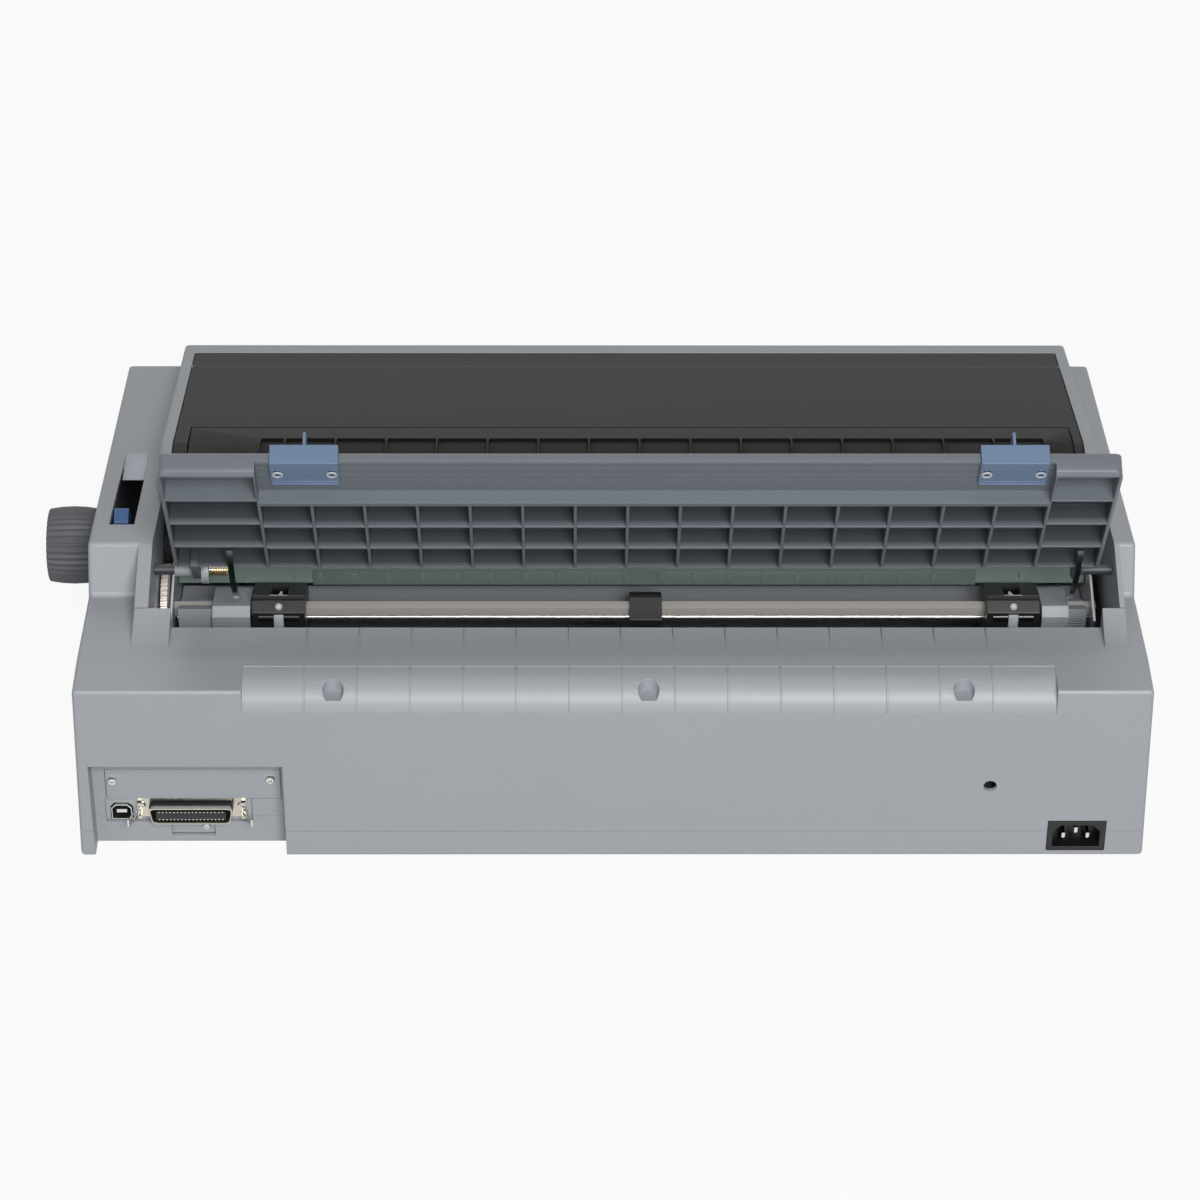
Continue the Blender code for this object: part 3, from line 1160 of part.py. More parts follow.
def make_tractor(side, middle, outward):
    """One pin-feed unit: body, lid, sprocket and lock lever."""
    low, high = middle - TRACTOR_WIDTH / 2, middle + TRACTOR_WIDTH / 2
    drive = (depth(drive_depth()), drive_height())
    support = (depth(SUPPORT_DEPTH), SUPPORT_HEIGHT)
    span = TRACTOR_WIDTH + 2 * OVERRUN
    body = prism("tractor_body_" + side, tractor_outline(), "X", low, high)
    groove = rod("groove", "X", (middle - TRACTOR_GROOVE / 2, *drive), TRACTOR_GROOVE, SPROCKET_TIP + CLEARANCE, True, 32)
    slot = box("slot", (middle - TRACTOR_GROOVE / 2, drive[0] - SPROCKET_RADIUS, drive[1]),
               (middle + TRACTOR_GROOVE / 2, drive[0] + SPROCKET_RADIUS, TRACTOR_CROWN_HEIGHT + OVERRUN), True)
    drive_bore = rod("drive_bore", "X", (low - OVERRUN, *drive), span, DRIVE_SQUARE / math.sqrt(2) + CLEARANCE, True)
    support_bore = rod("support_bore", "X", (low - OVERRUN, *support), span, SUPPORT_RADIUS + SHAFT_CLEARANCE, True)
    edge = high if outward > 0 else low
    notch_low, notch_high = sorted((edge + outward * OVERRUN, edge - outward * (LOCK_WIDTH + CLEARANCE)))
    notch = rod("notch", "X", (notch_low, *support), notch_high - notch_low, LOCK_RADIUS + CLEARANCE * 2, True, 24)
    sweep = box("sweep", (notch_low, support[0], TRACTOR_BOTTOM - OVERRUN),
                (notch_high, depth(TRACTOR_REAR - OVERRUN), support[1] + LOCK_RADIUS + CLEARANCE * 2), True)
    cut(body, groove, slot, drive_bore, support_bore, notch, sweep)
    finish(body, BLACK)
    cover = prism("tractor_cover_" + side, tractor_cover_outline(), "X", low, high)
    window = box("window", (middle - TRACTOR_GROOVE / 2, drive[0] - SPROCKET_RADIUS, drive[1]),
                 (middle + TRACTOR_GROOVE / 2, drive[0] + SPROCKET_RADIUS, TRACTOR_CROWN_HEIGHT * 2), True)
    cut(cover, window)
    finish(cover, BLACK)
    wheel = rod("tractor_sprocket_" + side, "X", (middle - SPROCKET_WIDTH / 2, *drive), SPROCKET_WIDTH, SPROCKET_RADIUS)
    pins = []
    for index in range(SPROCKET_PINS):
        pin = rod("pin", "Z", (middle, drive[0], drive[1]), SPROCKET_TIP, SPROCKET_PIN_RADIUS, True, 12,
                  end_radius=SPROCKET_PIN_RADIUS / 2)
        spin = Matrix.Rotation(2 * math.pi * index / SPROCKET_PINS, 4, 'X')
        centre = Matrix.Translation((middle, *drive))
        pin.data.transform(centre @ spin @ centre.inverted())
        pins.append(pin)
    join(wheel, *pins)
    cut(wheel, square_bar("bore", middle - SPROCKET_WIDTH, middle + SPROCKET_WIDTH, DRIVE_SQUARE + 2 * CLEARANCE, True))
    finish(set_pivot(wheel, (middle, *drive)), WHITE)
    lock_low, lock_high = sorted((edge - outward * GAP, edge - outward * (LOCK_WIDTH - GAP)))
    lock = rod("tractor_lock_" + side, "X", (lock_low, *support), lock_high - lock_low, LOCK_RADIUS)
    arm = box("arm", (lock_low, support[0], support[1] - LOCK_THICK / 2),
              (lock_high, support[0] + LOCK_LEVER, support[1] + LOCK_THICK / 2), True)
    join(lock, arm)
    cut(lock, rod("bore", "X", (low - OVERRUN, *support), span, SUPPORT_RADIUS + SHAFT_CLEARANCE, True))
    finish(set_pivot(lock, (middle, *support)), LEVER_BLUE)


def end_block(name, inner, step, outer):
    """A stepped end block of the tractor frame, with ribs over its crown."""
    low, high = sorted((inner, step))
    outline = [
        (depth(END_BLOCK_REAR), END_BLOCK_LOW),
        (depth(END_BLOCK_FRONT - OVERRUN), END_BLOCK_LOW),
        (depth(END_BLOCK_FRONT), END_BLOCK_TOP - 2 * OVERRUN),
        (depth(END_BLOCK_FRONT - OVERRUN), END_BLOCK_TOP - OVERRUN),
        (depth(END_BLOCK_REAR + OVERRUN), END_BLOCK_TOP),
        (depth(END_BLOCK_REAR), END_BLOCK_TOP - OVERRUN),
    ]
    block = prism(name, outline, "X", low, high)
    low, high = sorted((step - math.copysign(OVERRUN, outer), outer))
    tier = [
        (depth(END_BLOCK_REAR + OVERRUN), END_BLOCK_LOW + OVERRUN),
        (depth(END_BLOCK_FRONT - 2 * OVERRUN), END_BLOCK_LOW + OVERRUN),
        (depth(END_BLOCK_FRONT - 2 * OVERRUN), END_BLOCK_TOP - 2 * OVERRUN),
        (depth(END_BLOCK_REAR + OVERRUN), END_BLOCK_TOP - OVERRUN / 2),
    ]
    join(block, prism("tier", tier, "X", low, high, cutter=True))
    first, last = sorted((inner, outer))
    span = last - first + 2 * OVERRUN
    drive = rod("drive_bore", "X", (first - OVERRUN, depth(drive_depth()), drive_height()), span,
                DRIVE_SQUARE / math.sqrt(2) + CLEARANCE, True)
    support = rod("support_bore", "X", (first - OVERRUN, depth(SUPPORT_DEPTH), SUPPORT_HEIGHT), span,
                  SUPPORT_RADIUS + SHAFT_CLEARANCE, True)
    cut(block, drive, support)
    return finish(block, LIGHT_GREY)


def make_tractor_group():
    make_tractor("knob_side", TRACTOR_NEAR_X, 1)
    make_tractor("far_side", TRACTOR_FAR_X, -1)
    end_block("tractor_end_block_knob_side", END_BLOCK_INNER, END_BLOCK_STEP, END_BLOCK_OUTER)
    end_block("tractor_end_block_far_side", -END_FAR_INNER, -END_FAR_STEP, -END_FAR_OUTER)
    far = -FRAME_FAR - FRAME_SHEET / 2
    shaft = rod("tractor_support_shaft", "X", (far, depth(SUPPORT_DEPTH), SUPPORT_HEIGHT),
                FRAME_NEAR + FRAME_SHEET / 2 - far, SUPPORT_RADIUS)
    finish(shaft, POLISHED, math.radians(30))
    low, high = PAPER_SUPPORT_X - PAPER_SUPPORT_WIDTH / 2, PAPER_SUPPORT_X + PAPER_SUPPORT_WIDTH / 2
    drive = (depth(drive_depth()), drive_height())
    support_top = [
        (depth(TRACTOR_REAR + OVERRUN), SUPPORT_HEIGHT - OVERRUN),
        (depth(TRACTOR_FRONT - OVERRUN), SUPPORT_HEIGHT - OVERRUN),
        (depth(TRACTOR_FRONT), TRACTOR_FRONT_HEIGHT - OVERRUN),
        (depth(drive_depth()), drive_height() + SPROCKET_RADIUS),
        (depth(TRACTOR_REAR + OVERRUN), drive_height()),
    ]
    middle = prism("paper_support", support_top, "X", low, high)
    span = PAPER_SUPPORT_WIDTH + 2 * OVERRUN
    cut(middle,
        rod("drive_bore", "X", (low - OVERRUN, *drive), span, DRIVE_SQUARE / math.sqrt(2) + CLEARANCE, True),
        rod("support_bore", "X", (low - OVERRUN, depth(SUPPORT_DEPTH), SUPPORT_HEIGHT), span,
            SUPPORT_RADIUS + SHAFT_CLEARANCE, True))
    finish(middle, BLACK)


def make_knob():
    """Platen knob: a barrel with fine ridges and a hub that reaches through the case."""
    place = (depth(PLATEN_DEPTH), PLATEN_HEIGHT)
    start = case_side(PLATEN_HEIGHT) + 2 * CLEARANCE
    points = []
    for index in range(KNOB_GROOVES * 2):
        angle = math.pi * index / KNOB_GROOVES
        radius = (KNOB_RADIUS - KNOB_BARREL) * (1 if index % 2 else 1 - KNOB_GROOVE_SHARE)
        points.append((place[0] + radius * math.cos(angle), place[1] + radius * math.sin(angle)))
    knob = prism("platen_knob", points, "X", start, KNOB_END)
    form = bmesh.new()
    form.from_mesh(knob.data)
    rim = [edge for edge in form.edges if abs(edge.verts[0].co.x - edge.verts[1].co.x) > GAP]
    bmesh.ops.subdivide_edges(form, edges=rim, cuts=3)
    half = (KNOB_END - start) / 2
    for vertex in form.verts:
        share = (vertex.co.x - start - half) / half
        swell = 1 + KNOB_BARREL * (1 - share * share) / KNOB_RADIUS
        vertex.co.y = place[0] + (vertex.co.y - place[0]) * swell
        vertex.co.z = place[1] + (vertex.co.z - place[1]) * swell
    form.to_mesh(knob.data)
    form.free()
    hub = rod("hub", "X", (gear_start() + GEAR_WIDTH + 2 * CLEARANCE, *place), start - gear_start(), KNOB_HUB_RADIUS, True)
    join(knob, hub)
    cut(knob, rod("bore", "X", (FRAME_NEAR, *place), KNOB_END - KNOB_HUB_RADIUS + CLEARANCE - FRAME_NEAR,
                  PLATEN_SHAFT + GAP, True))
    finish(set_pivot(knob, (0, *place)), KNOB_GREY)


def case_side(height):
    """Half the case's width at one height."""
    return CASE_WIDTH / 2 - (height - CASE_BOTTOM) * math.tan(CASE_DRAFT)


def make_carriage_group():
    """Rails, belt, motor, carriage with its print head, and the ribbon cartridge."""
    far = -FRAME_FAR - FRAME_SHEET / 2
    near = FRAME_NEAR + FRAME_SHEET / 2
    rail_place = (depth(RAIL_DEPTH), RAIL_HEIGHT)
    rail = rod("carriage_shaft", "X", (far, *rail_place), near - far, RAIL_RADIUS)
    finish(rail, POLISHED, math.radians(30))
    channel = [
        (depth(FRONT_RAIL_DEPTH + FRONT_RAIL_WIDTH), FRONT_RAIL_HEIGHT - FRONT_RAIL_WIDTH),
        (depth(FRONT_RAIL_DEPTH + FRONT_RAIL_WIDTH), FRONT_RAIL_HEIGHT),
        (depth(FRONT_RAIL_DEPTH), FRONT_RAIL_HEIGHT),
        (depth(FRONT_RAIL_DEPTH), FRONT_RAIL_HEIGHT - SHEET),
        (depth(FRONT_RAIL_DEPTH + FRONT_RAIL_WIDTH - SHEET), FRONT_RAIL_HEIGHT - SHEET),
        (depth(FRONT_RAIL_DEPTH + FRONT_RAIL_WIDTH - SHEET), FRONT_RAIL_HEIGHT - FRONT_RAIL_WIDTH),
    ]
    front_rail = prism("carriage_front_rail", channel, "X", -FRAME_FAR + CLEARANCE, FRAME_NEAR - CLEARANCE)
    finish(front_rail, STEEL)
    low, high = CARRIAGE_X - CARRIAGE_WIDTH / 2, CARRIAGE_X + CARRIAGE_WIDTH / 2
    outline = [
        (depth(CARRIAGE_REAR), CARRIAGE_LOW),
        (depth(RAIL_DEPTH + 2 * RAIL_RADIUS), CARRIAGE_LOW),
        (depth(RAIL_DEPTH + 2 * RAIL_RADIUS), FRONT_RAIL_HEIGHT + GAP),
        (depth(CARRIAGE_FRONT + FRONT_RAIL_WIDTH), FRONT_RAIL_HEIGHT + GAP),
        (depth(CARRIAGE_FRONT + FRONT_RAIL_WIDTH), FRONT_RAIL_HEIGHT + GAP + SHEET * 2),
        (depth(RAIL_DEPTH + 3 * RAIL_RADIUS), CARRIAGE_TOP),
        (depth(CARRIAGE_REAR), CARRIAGE_TOP),
    ]
    carriage = prism("carriage", outline, "X", low, high)
    cut(carriage, rod("bore", "X", (low - OVERRUN, *rail_place), CARRIAGE_WIDTH + 2 * OVERRUN,
                      RAIL_RADIUS + SHAFT_CLEARANCE, True))
    finish(carriage, BLACK)
    head = rod("print_head", "Y", (CARRIAGE_X, depth(HEAD_FRONT), CARRIAGE_TOP + GAP + HEAD_RADIUS),
               HEAD_FRONT - HEAD_TIP - HEAD_RADIUS / 2, HEAD_RADIUS, sides=24)
    nose = box("nose", (CARRIAGE_X - HEAD_RADIUS / 3, depth(HEAD_TIP + HEAD_RADIUS), PLATEN_HEIGHT - HEAD_RADIUS / 3),
               (CARRIAGE_X + HEAD_RADIUS / 3, depth(HEAD_TIP), PLATEN_HEIGHT + HEAD_RADIUS / 3), True)
    join(head, nose)
    for index in range(HEAD_FINS):
        place = depth(HEAD_FRONT - FIN_GAP * (2 * index + 1))
        ring = rod("ring", "Y", (CARRIAGE_X, place - FIN_GAP, CARRIAGE_TOP + GAP + HEAD_RADIUS), FIN_GAP,
                   HEAD_RADIUS * 2, True, 32)
        cut(ring, rod("core", "Y", (CARRIAGE_X, place - 2 * FIN_GAP, CARRIAGE_TOP + GAP + HEAD_RADIUS), 3 * FIN_GAP,
                      HEAD_RADIUS - FIN_GAP, True, 32))
        cut(head, ring)
    finish(head, ALUMINIUM, math.radians(30))
    pulley_place = (depth(BELT_DEPTH), BELT_HEIGHT)
    pulley_start = Vector((PULLEY_X, *pulley_place))
    pulley = rod("carriage_pulley", "Z", (PULLEY_X, pulley_place[0], BELT_HEIGHT), BELT_TALL + 2 * CLEARANCE,
                 PULLEY_RADIUS)
    finish(set_pivot(pulley, pulley_start), BRASS, math.radians(30))
    motor = rod("carriage_motor", "Z", (PULLEY_X, pulley_place[0], BELT_HEIGHT - GAP - BELT_MOTOR_LENGTH),
                BELT_MOTOR_LENGTH, BELT_MOTOR_RADIUS, sides=24)
    finish(motor, BLACK, math.radians(30))
    outer = stadium(PULLEY_RADIUS + GAP + BELT_THICK)
    inner = stadium(PULLEY_RADIUS + GAP)
    belt = prism("carriage_belt", outer, "Z", BELT_HEIGHT + CLEARANCE, BELT_HEIGHT + CLEARANCE + BELT_TALL - GAP)
    cut(belt, prism("inside", inner, "Z", BELT_HEIGHT - OVERRUN, BELT_HEIGHT + BELT_TALL + OVERRUN, cutter=True))
    finish(belt, BLACK)
    cartridge = box("ribbon_cartridge", (-RIBBON_FAR, depth(RIBBON_FRONT), RIBBON_LOW + GAP),
                    (RIBBON_NEAR, depth(RIBBON_REAR), RIBBON_TOP))
    soften(cartridge, EDGE_RADIUS, 2)
    arms = [box("arm", (end - RIBBON_ARM / 2, depth(RIBBON_REAR + OVERRUN), RIBBON_LOW + OVERRUN),
                (end + RIBBON_ARM / 2, depth(RAIL_DEPTH - RIBBON_ARM), RIBBON_TOP - CLEARANCE), True)
            for end in (RIBBON_NEAR - RIBBON_ARM / 2, -RIBBON_FAR + RIBBON_ARM / 2)]
    join(cartridge, *arms)
    knob_place = (RIBBON_KNOB_X, depth((RIBBON_REAR + RIBBON_FRONT) / 2), RIBBON_TOP + GAP)
    finish(cartridge, BLACK)
    knob = lathe("ribbon_knob", [(0, RIBBON_KNOB_TALL), (RIBBON_KNOB_RADIUS - EDGE_RADIUS / 2, RIBBON_KNOB_TALL),
                                 (RIBBON_KNOB_RADIUS, RIBBON_KNOB_TALL - EDGE_RADIUS / 2), (RIBBON_KNOB_RADIUS, 0),
                                 (0, 0)], "Z", knob_place, steps=20)
    flutes = [rod("flute", "Z", (knob_place[0] + RIBBON_KNOB_RADIUS * math.cos(turn),
                                 knob_place[1] + RIBBON_KNOB_RADIUS * math.sin(turn), RIBBON_TOP + OVERRUN / 2),
                  RIBBON_KNOB_TALL * 2, EDGE_RADIUS / 2, True, 10)
              for turn in (2 * math.pi * step / 10 for step in range(10))]
    cut(knob, *flutes)
    finish(set_pivot(knob, knob_place), WHITE)


def stadium(radius):
    """Plan of the belt's loop round its two pulleys."""
    points = []
    for centre, start in ((PULLEY_X, -math.pi / 2), (-PULLEY_X, math.pi / 2)):
        for step in range(9):
            turn = start + math.pi * step / 8
            points.append((centre + radius * math.cos(turn), depth(BELT_DEPTH) + radius * math.sin(turn)))
    return points


def cover_height(distance):
    """Height of the printer cover's top at a place in front of the rear wall."""
    if distance > COVER_PEAK:
        slope = (COVER_PEAK_HEIGHT - COVER_FRONT_HEIGHT) / (COVER_FRONT - COVER_PEAK)
        return COVER_PEAK_HEIGHT - (distance - COVER_PEAK) * slope
    slope = (COVER_PEAK_HEIGHT - COVER_REAR_HEIGHT) / (COVER_PEAK - COVER_REAR)
    return COVER_PEAK_HEIGHT - (COVER_PEAK - distance) * slope


def cover_strip(front, rear, top, bottom):
    """Side view of a sheet that follows the cover's top, between two offsets below it."""
    places = [front] + ([COVER_PEAK] if rear < COVER_PEAK < front else []) + [rear]
    upper = [(depth(place), cover_height(place) - top) for place in places]
    lower = [(depth(place), cover_height(place) - bottom) for place in reversed(places)]
    return upper + lower


def skirt_low(distance):
    """Lower edge of the cover's skirt, which follows the shoulder."""
    if distance < SHOULDER_FRONT:
        return shoulder_slope_height(distance) + COVER_SKIRT_GAP
    return panel_height(distance) + COVER_SKIRT_GAP


def make_cover():
    """Hinged printer cover: a rim of top bands with skirts, open for the window and the flap."""
    sides = (-COVER_FAR, COVER_NEAR)
    outline = [(depth(COVER_FRONT), cover_height(COVER_FRONT)), (depth(COVER_PEAK), COVER_PEAK_HEIGHT),
               (depth(COVER_REAR), COVER_REAR_HEIGHT), (depth(COVER_REAR), COVER_REAR_HEIGHT - COVER_LIP),
               (depth(COVER_REAR + 3 * OVERRUN), skirt_low(COVER_REAR + 3 * OVERRUN)),
               (depth(SHOULDER_FRONT), skirt_low(SHOULDER_FRONT)), (depth(COVER_FRONT), skirt_low(COVER_FRONT))]
    cover = prism("printer_cover", outline, "X", *sides)
    soften(cover, EDGE_RADIUS, 2, math.radians(50))
    inner = [(depth(COVER_FRONT - COVER_WALL), cover_height(COVER_FRONT - COVER_WALL) - COVER_WALL),
             (depth(COVER_PEAK), COVER_PEAK_HEIGHT - COVER_WALL),
             (depth(COVER_REAR + COVER_WALL), COVER_REAR_HEIGHT - COVER_WALL),
             (depth(COVER_REAR + COVER_WALL), PLATEN_HEIGHT), (depth(COVER_FRONT - COVER_WALL), PLATEN_HEIGHT - COVER_LIP * 2)]
    hollow = prism("cover_hollow", inner, "X", sides[0] + COVER_WALL, sides[1] - COVER_WALL, cutter=True)
    window = box("window_opening", (sides[0] + COVER_BAND, depth(COVER_FRONT - COVER_FRONT_BAND), COVER_FRONT_HEIGHT - COVER_LIP),
                 (sides[1] - COVER_BAND, depth(FLAP_REAR - CLEARANCE), COVER_PEAK_HEIGHT + OVERRUN), True)
    pivot = cover_pivot()
    heel = box("heel", (BAY_LEFT - GAP, pivot[0] + COVER_HEEL, SHOULDER_FOOT),
               (sides[1] + OVERRUN, depth(COVER_REAR) + OVERRUN, COVER_PEAK_HEIGHT + OVERRUN), True)
    cut(cover, hollow, window, heel)
    pins = [rod("pin", "X", (start, *pivot), COVER_PIN_LENGTH + COVER_WALL, COVER_PIN_RADIUS, True)
            for start in (sides[0] + COVER_WALL / 2, sides[1] - COVER_WALL / 2 - COVER_PIN_LENGTH - COVER_WALL)]
    join(cover, *pins)
    set_pivot(cover, (0, *pivot))
    finish(cover, CASE_GREY, math.radians(30))
    opening = (sides[0] + COVER_BAND, sides[1] - COVER_BAND)
    seat = (COVER_FRONT - COVER_FRONT_BAND - CLEARANCE, FLAP_REAR + CLEARANCE)
    pane = prism("cover_window", cover_strip(*seat, GAP, GAP + WINDOW_THICK), "X",
                 opening[0] + CLEARANCE, opening[1] - CLEARANCE)
    gate = box("gate", (-FLAP_FAR - CLEARANCE, depth(FLAP_FRONT + CLEARANCE), COVER_FRONT_HEIGHT),
               (FLAP_NEAR + CLEARANCE, depth(FLAP_REAR - OVERRUN), COVER_PEAK_HEIGHT + OVERRUN), True)
    pin_height = flap_pivot()[1]
    pin_clear = box("pin_clear", (-FLAP_FAR - 2 * OVERRUN, depth(FLAP_FRONT - 2 * FLAP_PIN_RADIUS - 2 * CLEARANCE), pin_height - 2 * OVERRUN),
                    (FLAP_NEAR + 2 * OVERRUN, depth(FLAP_REAR - OVERRUN), COVER_PEAK_HEIGHT + OVERRUN), True)
    cut(pane, gate)
    set_pivot(pane, (0, *pivot))
    finish(pane, SMOKE)


def cover_pivot():
    return (depth(COVER_REAR + 2 * COVER_PIN_RADIUS + OVERRUN), COVER_REAR_HEIGHT - COVER_LIP + COVER_PIN_RADIUS / 2)


def flap_pivot():
    place = FLAP_FRONT - FLAP_PIN_RADIUS - CLEARANCE
    return (depth(place), cover_height(place) - FLAP_THICK / 2)


def make_flap():
    """Paper exit flap with its row of slots, and the foam strip under them."""
    outline = cover_strip(FLAP_FRONT, FLAP_REAR, GAP, GAP + FLAP_THICK)
    flap = prism("exit_flap", outline, "X", -FLAP_FAR, FLAP_NEAR)
    count = int((EXIT_NEAR + EXIT_FAR) / EXIT_PITCH)
    form = bmesh.new()
    for index in range(count + 1):
        low = -EXIT_FAR + index * EXIT_PITCH
        high = min(low + EXIT_PITCH - EXIT_DIVIDER, EXIT_NEAR)
        if high - low < EXIT_DIVIDER * 2:
            continue
        cell = box("cell", (low, depth(EXIT_FRONT), COVER_REAR_HEIGHT - COVER_LIP),
                   (high, depth(EXIT_REAR), COVER_PEAK_HEIGHT + OVERRUN), True)
        form.from_mesh(cell.data)
        bpy.data.objects.remove(cell)
    mesh = bpy.data.meshes.new("exit_cells")
    form.to_mesh(mesh)
    form.free()
    cut(flap, as_object("exit_cells", mesh, cutter=True))
    pivot = flap_pivot()
    set_pivot(flap, (0, *pivot))
    finish(flap, SMOKE)
    strip = cover_strip(EXIT_FRONT + EXIT_DIVIDER, EXIT_REAR - EXIT_DIVIDER, 2 * GAP + FLAP_THICK,
                        2 * GAP + FLAP_THICK + FOAM_TALL)
    foam = prism("exit_foam_strip", strip, "X", -EXIT_FAR - EXIT_DIVIDER, EXIT_NEAR + EXIT_DIVIDER)
    set_pivot(foam, (0, *pivot))
    finish(foam, BLACK)


def guide_place(along, out):
    """A YZ point of the raised sheet guide: along its back from the pivot, and out towards the front."""
    pivot = (depth(GUIDE_PIVOT_DEPTH), GUIDE_PIVOT_HEIGHT)
    run = (math.sin(GUIDE_LEAN), math.cos(GUIDE_LEAN))
    normal = (-math.cos(GUIDE_LEAN), math.sin(GUIDE_LEAN))
    shift = out - GUIDE_FOLD_DROP
    return (pivot[0] + run[0] * along + normal[0] * shift * -1 * -1, pivot[1] + run[1] * along + normal[1] * shift)


def guide_box(name, near, far, start, end, inner, outer, cutter=True):
    outline = [guide_place(start, inner), guide_place(end, inner), guide_place(end, outer), guide_place(start, outer)]
    return prism(name, outline, "X", near, far, cutter)


def guide_length():
    rise = GUIDE_TOP - GUIDE_PIVOT_HEIGHT - (GUIDE_THICK - GUIDE_FOLD_DROP) * math.sin(GUIDE_LEAN)
    return rise / math.cos(GUIDE_LEAN)


def make_sheet_guide():
    """Folding sheet guide: a ribbed panel between two hollow arms on pivot pins."""
    length = guide_length()
    far, near = -GUIDE_FAR, GUIDE_NEAR
    thick, skin = GUIDE_THICK, GUIDE_SKIN
    bottom = GUIDE_LEG_WIDTH * 2
    guide = guide_box("sheet_guide", far, near, bottom, length, 0, thick, cutter=False)
    soften(guide, EDGE_RADIUS * 2, 3, math.radians(50))
    grid_low, grid_high = bottom + GUIDE_GRID_BOTTOM, GUIDE_GRID_TOP
    panel_far, panel_near = far + GUIDE_ARM_FAR, near - GUIDE_ARM_NEAR
    channel = guide_box("rail_channel", panel_far, panel_near, grid_high + skin, length + OVERRUN, -OVERRUN, GUIDE_CHANNEL)
    cutters_made = [channel]
    form = bmesh.new()
    columns = GUIDE_CELLS
    pitch = (panel_near - panel_far) / columns
    rows = (grid_high - bottom - skin) / (GUIDE_GRID_ROWS - 1)
    for row in range(GUIDE_GRID_ROWS - 1):
        start = bottom + skin + row * rows
        for column in range(columns):
            low = panel_far + column * pitch + GUIDE_RIB / 2
            high = low + pitch - GUIDE_RIB
            cell = guide_box("cell", low, high, start, start + rows - GUIDE_RIB, -OVERRUN, GUIDE_GRID_DEPTH)
            form.from_mesh(cell.data)
            bpy.data.objects.remove(cell)
    for low, high in ((far + skin, panel_far - GUIDE_RIB / 2), (panel_near + GUIDE_RIB / 2, near - skin)):
        arm_rows = (length - bottom - 2 * skin) / GUIDE_GRID_ROWS
        for row in range(GUIDE_GRID_ROWS):
            start = bottom + skin + row * arm_rows
            cell = guide_box("arm_cell", low, high, start, start + arm_rows - GUIDE_RIB, -OVERRUN, GUIDE_GRID_DEPTH)
            form.from_mesh(cell.data)
            bpy.data.objects.remove(cell)
    mesh = bpy.data.meshes.new("guide_cells")
    form.to_mesh(mesh)
    form.free()
    cutters_made.append(as_object("guide_cells", mesh, cutter=True))
    cut(guide, *cutters_made)
    pivot = (depth(GUIDE_PIVOT_DEPTH), GUIDE_PIVOT_HEIGHT)
    legs = []
    for outer, inward in ((far + GUIDE_LEG_WIDTH, 1), (near - GUIDE_LEG_WIDTH, -1)):
        low, high = sorted((outer, outer + inward * GUIDE_SKIN * 2))
        leg = [guide_place(bottom + OVERRUN, thick - skin), guide_place(bottom + OVERRUN, 0),
               guide_place(0, GUIDE_FOLD_DROP - GUIDE_PIN_RADIUS * 2), guide_place(-GUIDE_PIN_RADIUS * 2, GUIDE_FOLD_DROP),
               guide_place(0, GUIDE_FOLD_DROP + GUIDE_PIN_RADIUS * 2)]
        legs.append(prism("leg", leg, "X", low, high, cutter=True))
        start, end = (-BAY_RIGHT + GAP, high - GAP) if inward > 0 else (low + GAP, BAY_LEFT - GAP)
        legs.append(rod("pin", "X", (start, *pivot), end - start, GUIDE_PIN_RADIUS, True))
    join(guide, *legs)
    set_pivot(guide, (0, *pivot))
    finish(guide, GUIDE_GREY, math.radians(30))
    rail_top = length - skin
    for name, middle in (("edge_guide_knob_side", EDGE_GUIDE_NEAR_X), ("edge_guide_far_side", EDGE_GUIDE_FAR_X)):
        make_edge_guide(name, middle, length)


def make_edge_guide(name, middle, length):
    """A saddle that slides along the guide's top rail and carries the paper fin."""
    low, high = middle - EDGE_GUIDE_WIDTH / 2, middle + EDGE_GUIDE_WIDTH / 2
    wall, thick, gap = EDGE_GUIDE_WALL, GUIDE_THICK, CLEARANCE
    inner_back = GUIDE_CHANNEL - gap
    outline = [guide_place(length - EDGE_GUIDE_DROP, inner_back - wall), guide_place(length + gap + wall, inner_back - wall),
               guide_place(length + gap + wall, thick + gap + wall),
               guide_place(length - EDGE_GUIDE_DROP / 2, thick + gap + wall),
               guide_place(length - EDGE_GUIDE_DROP / 2, thick + gap), guide_place(length + gap, thick + gap),
               guide_place(length + gap, inner_back), guide_place(length - EDGE_GUIDE_DROP, inner_back)]
    piece = prism(name, outline, "X", low, high)
    holes = []
    for place in (low + EDGE_GUIDE_HOLE * 2, high - EDGE_GUIDE_HOLE * 2):
        centre = guide_place(length - EDGE_GUIDE_DROP / 2, inner_back)
        hole = rod("hole", "Z", (0, 0, -OVERRUN), 2 * OVERRUN, EDGE_GUIDE_HOLE, True, 16)
        hole.data.transform(Matrix.Translation((place, *centre)) @ Matrix.Rotation(math.pi / 2 + GUIDE_LEAN, 4, 'X'))
        holes.append(hole)
    fin = guide_box("fin", middle - wall / 2, middle + wall / 2, length - EDGE_GUIDE_DROP / 2 + gap, length + gap,
                    thick + gap + wall / 2, thick + gap + wall + EDGE_GUIDE_FIN)
    cut(join(piece, fin), *holes)
    finish(piece, GUIDE_BLUE)


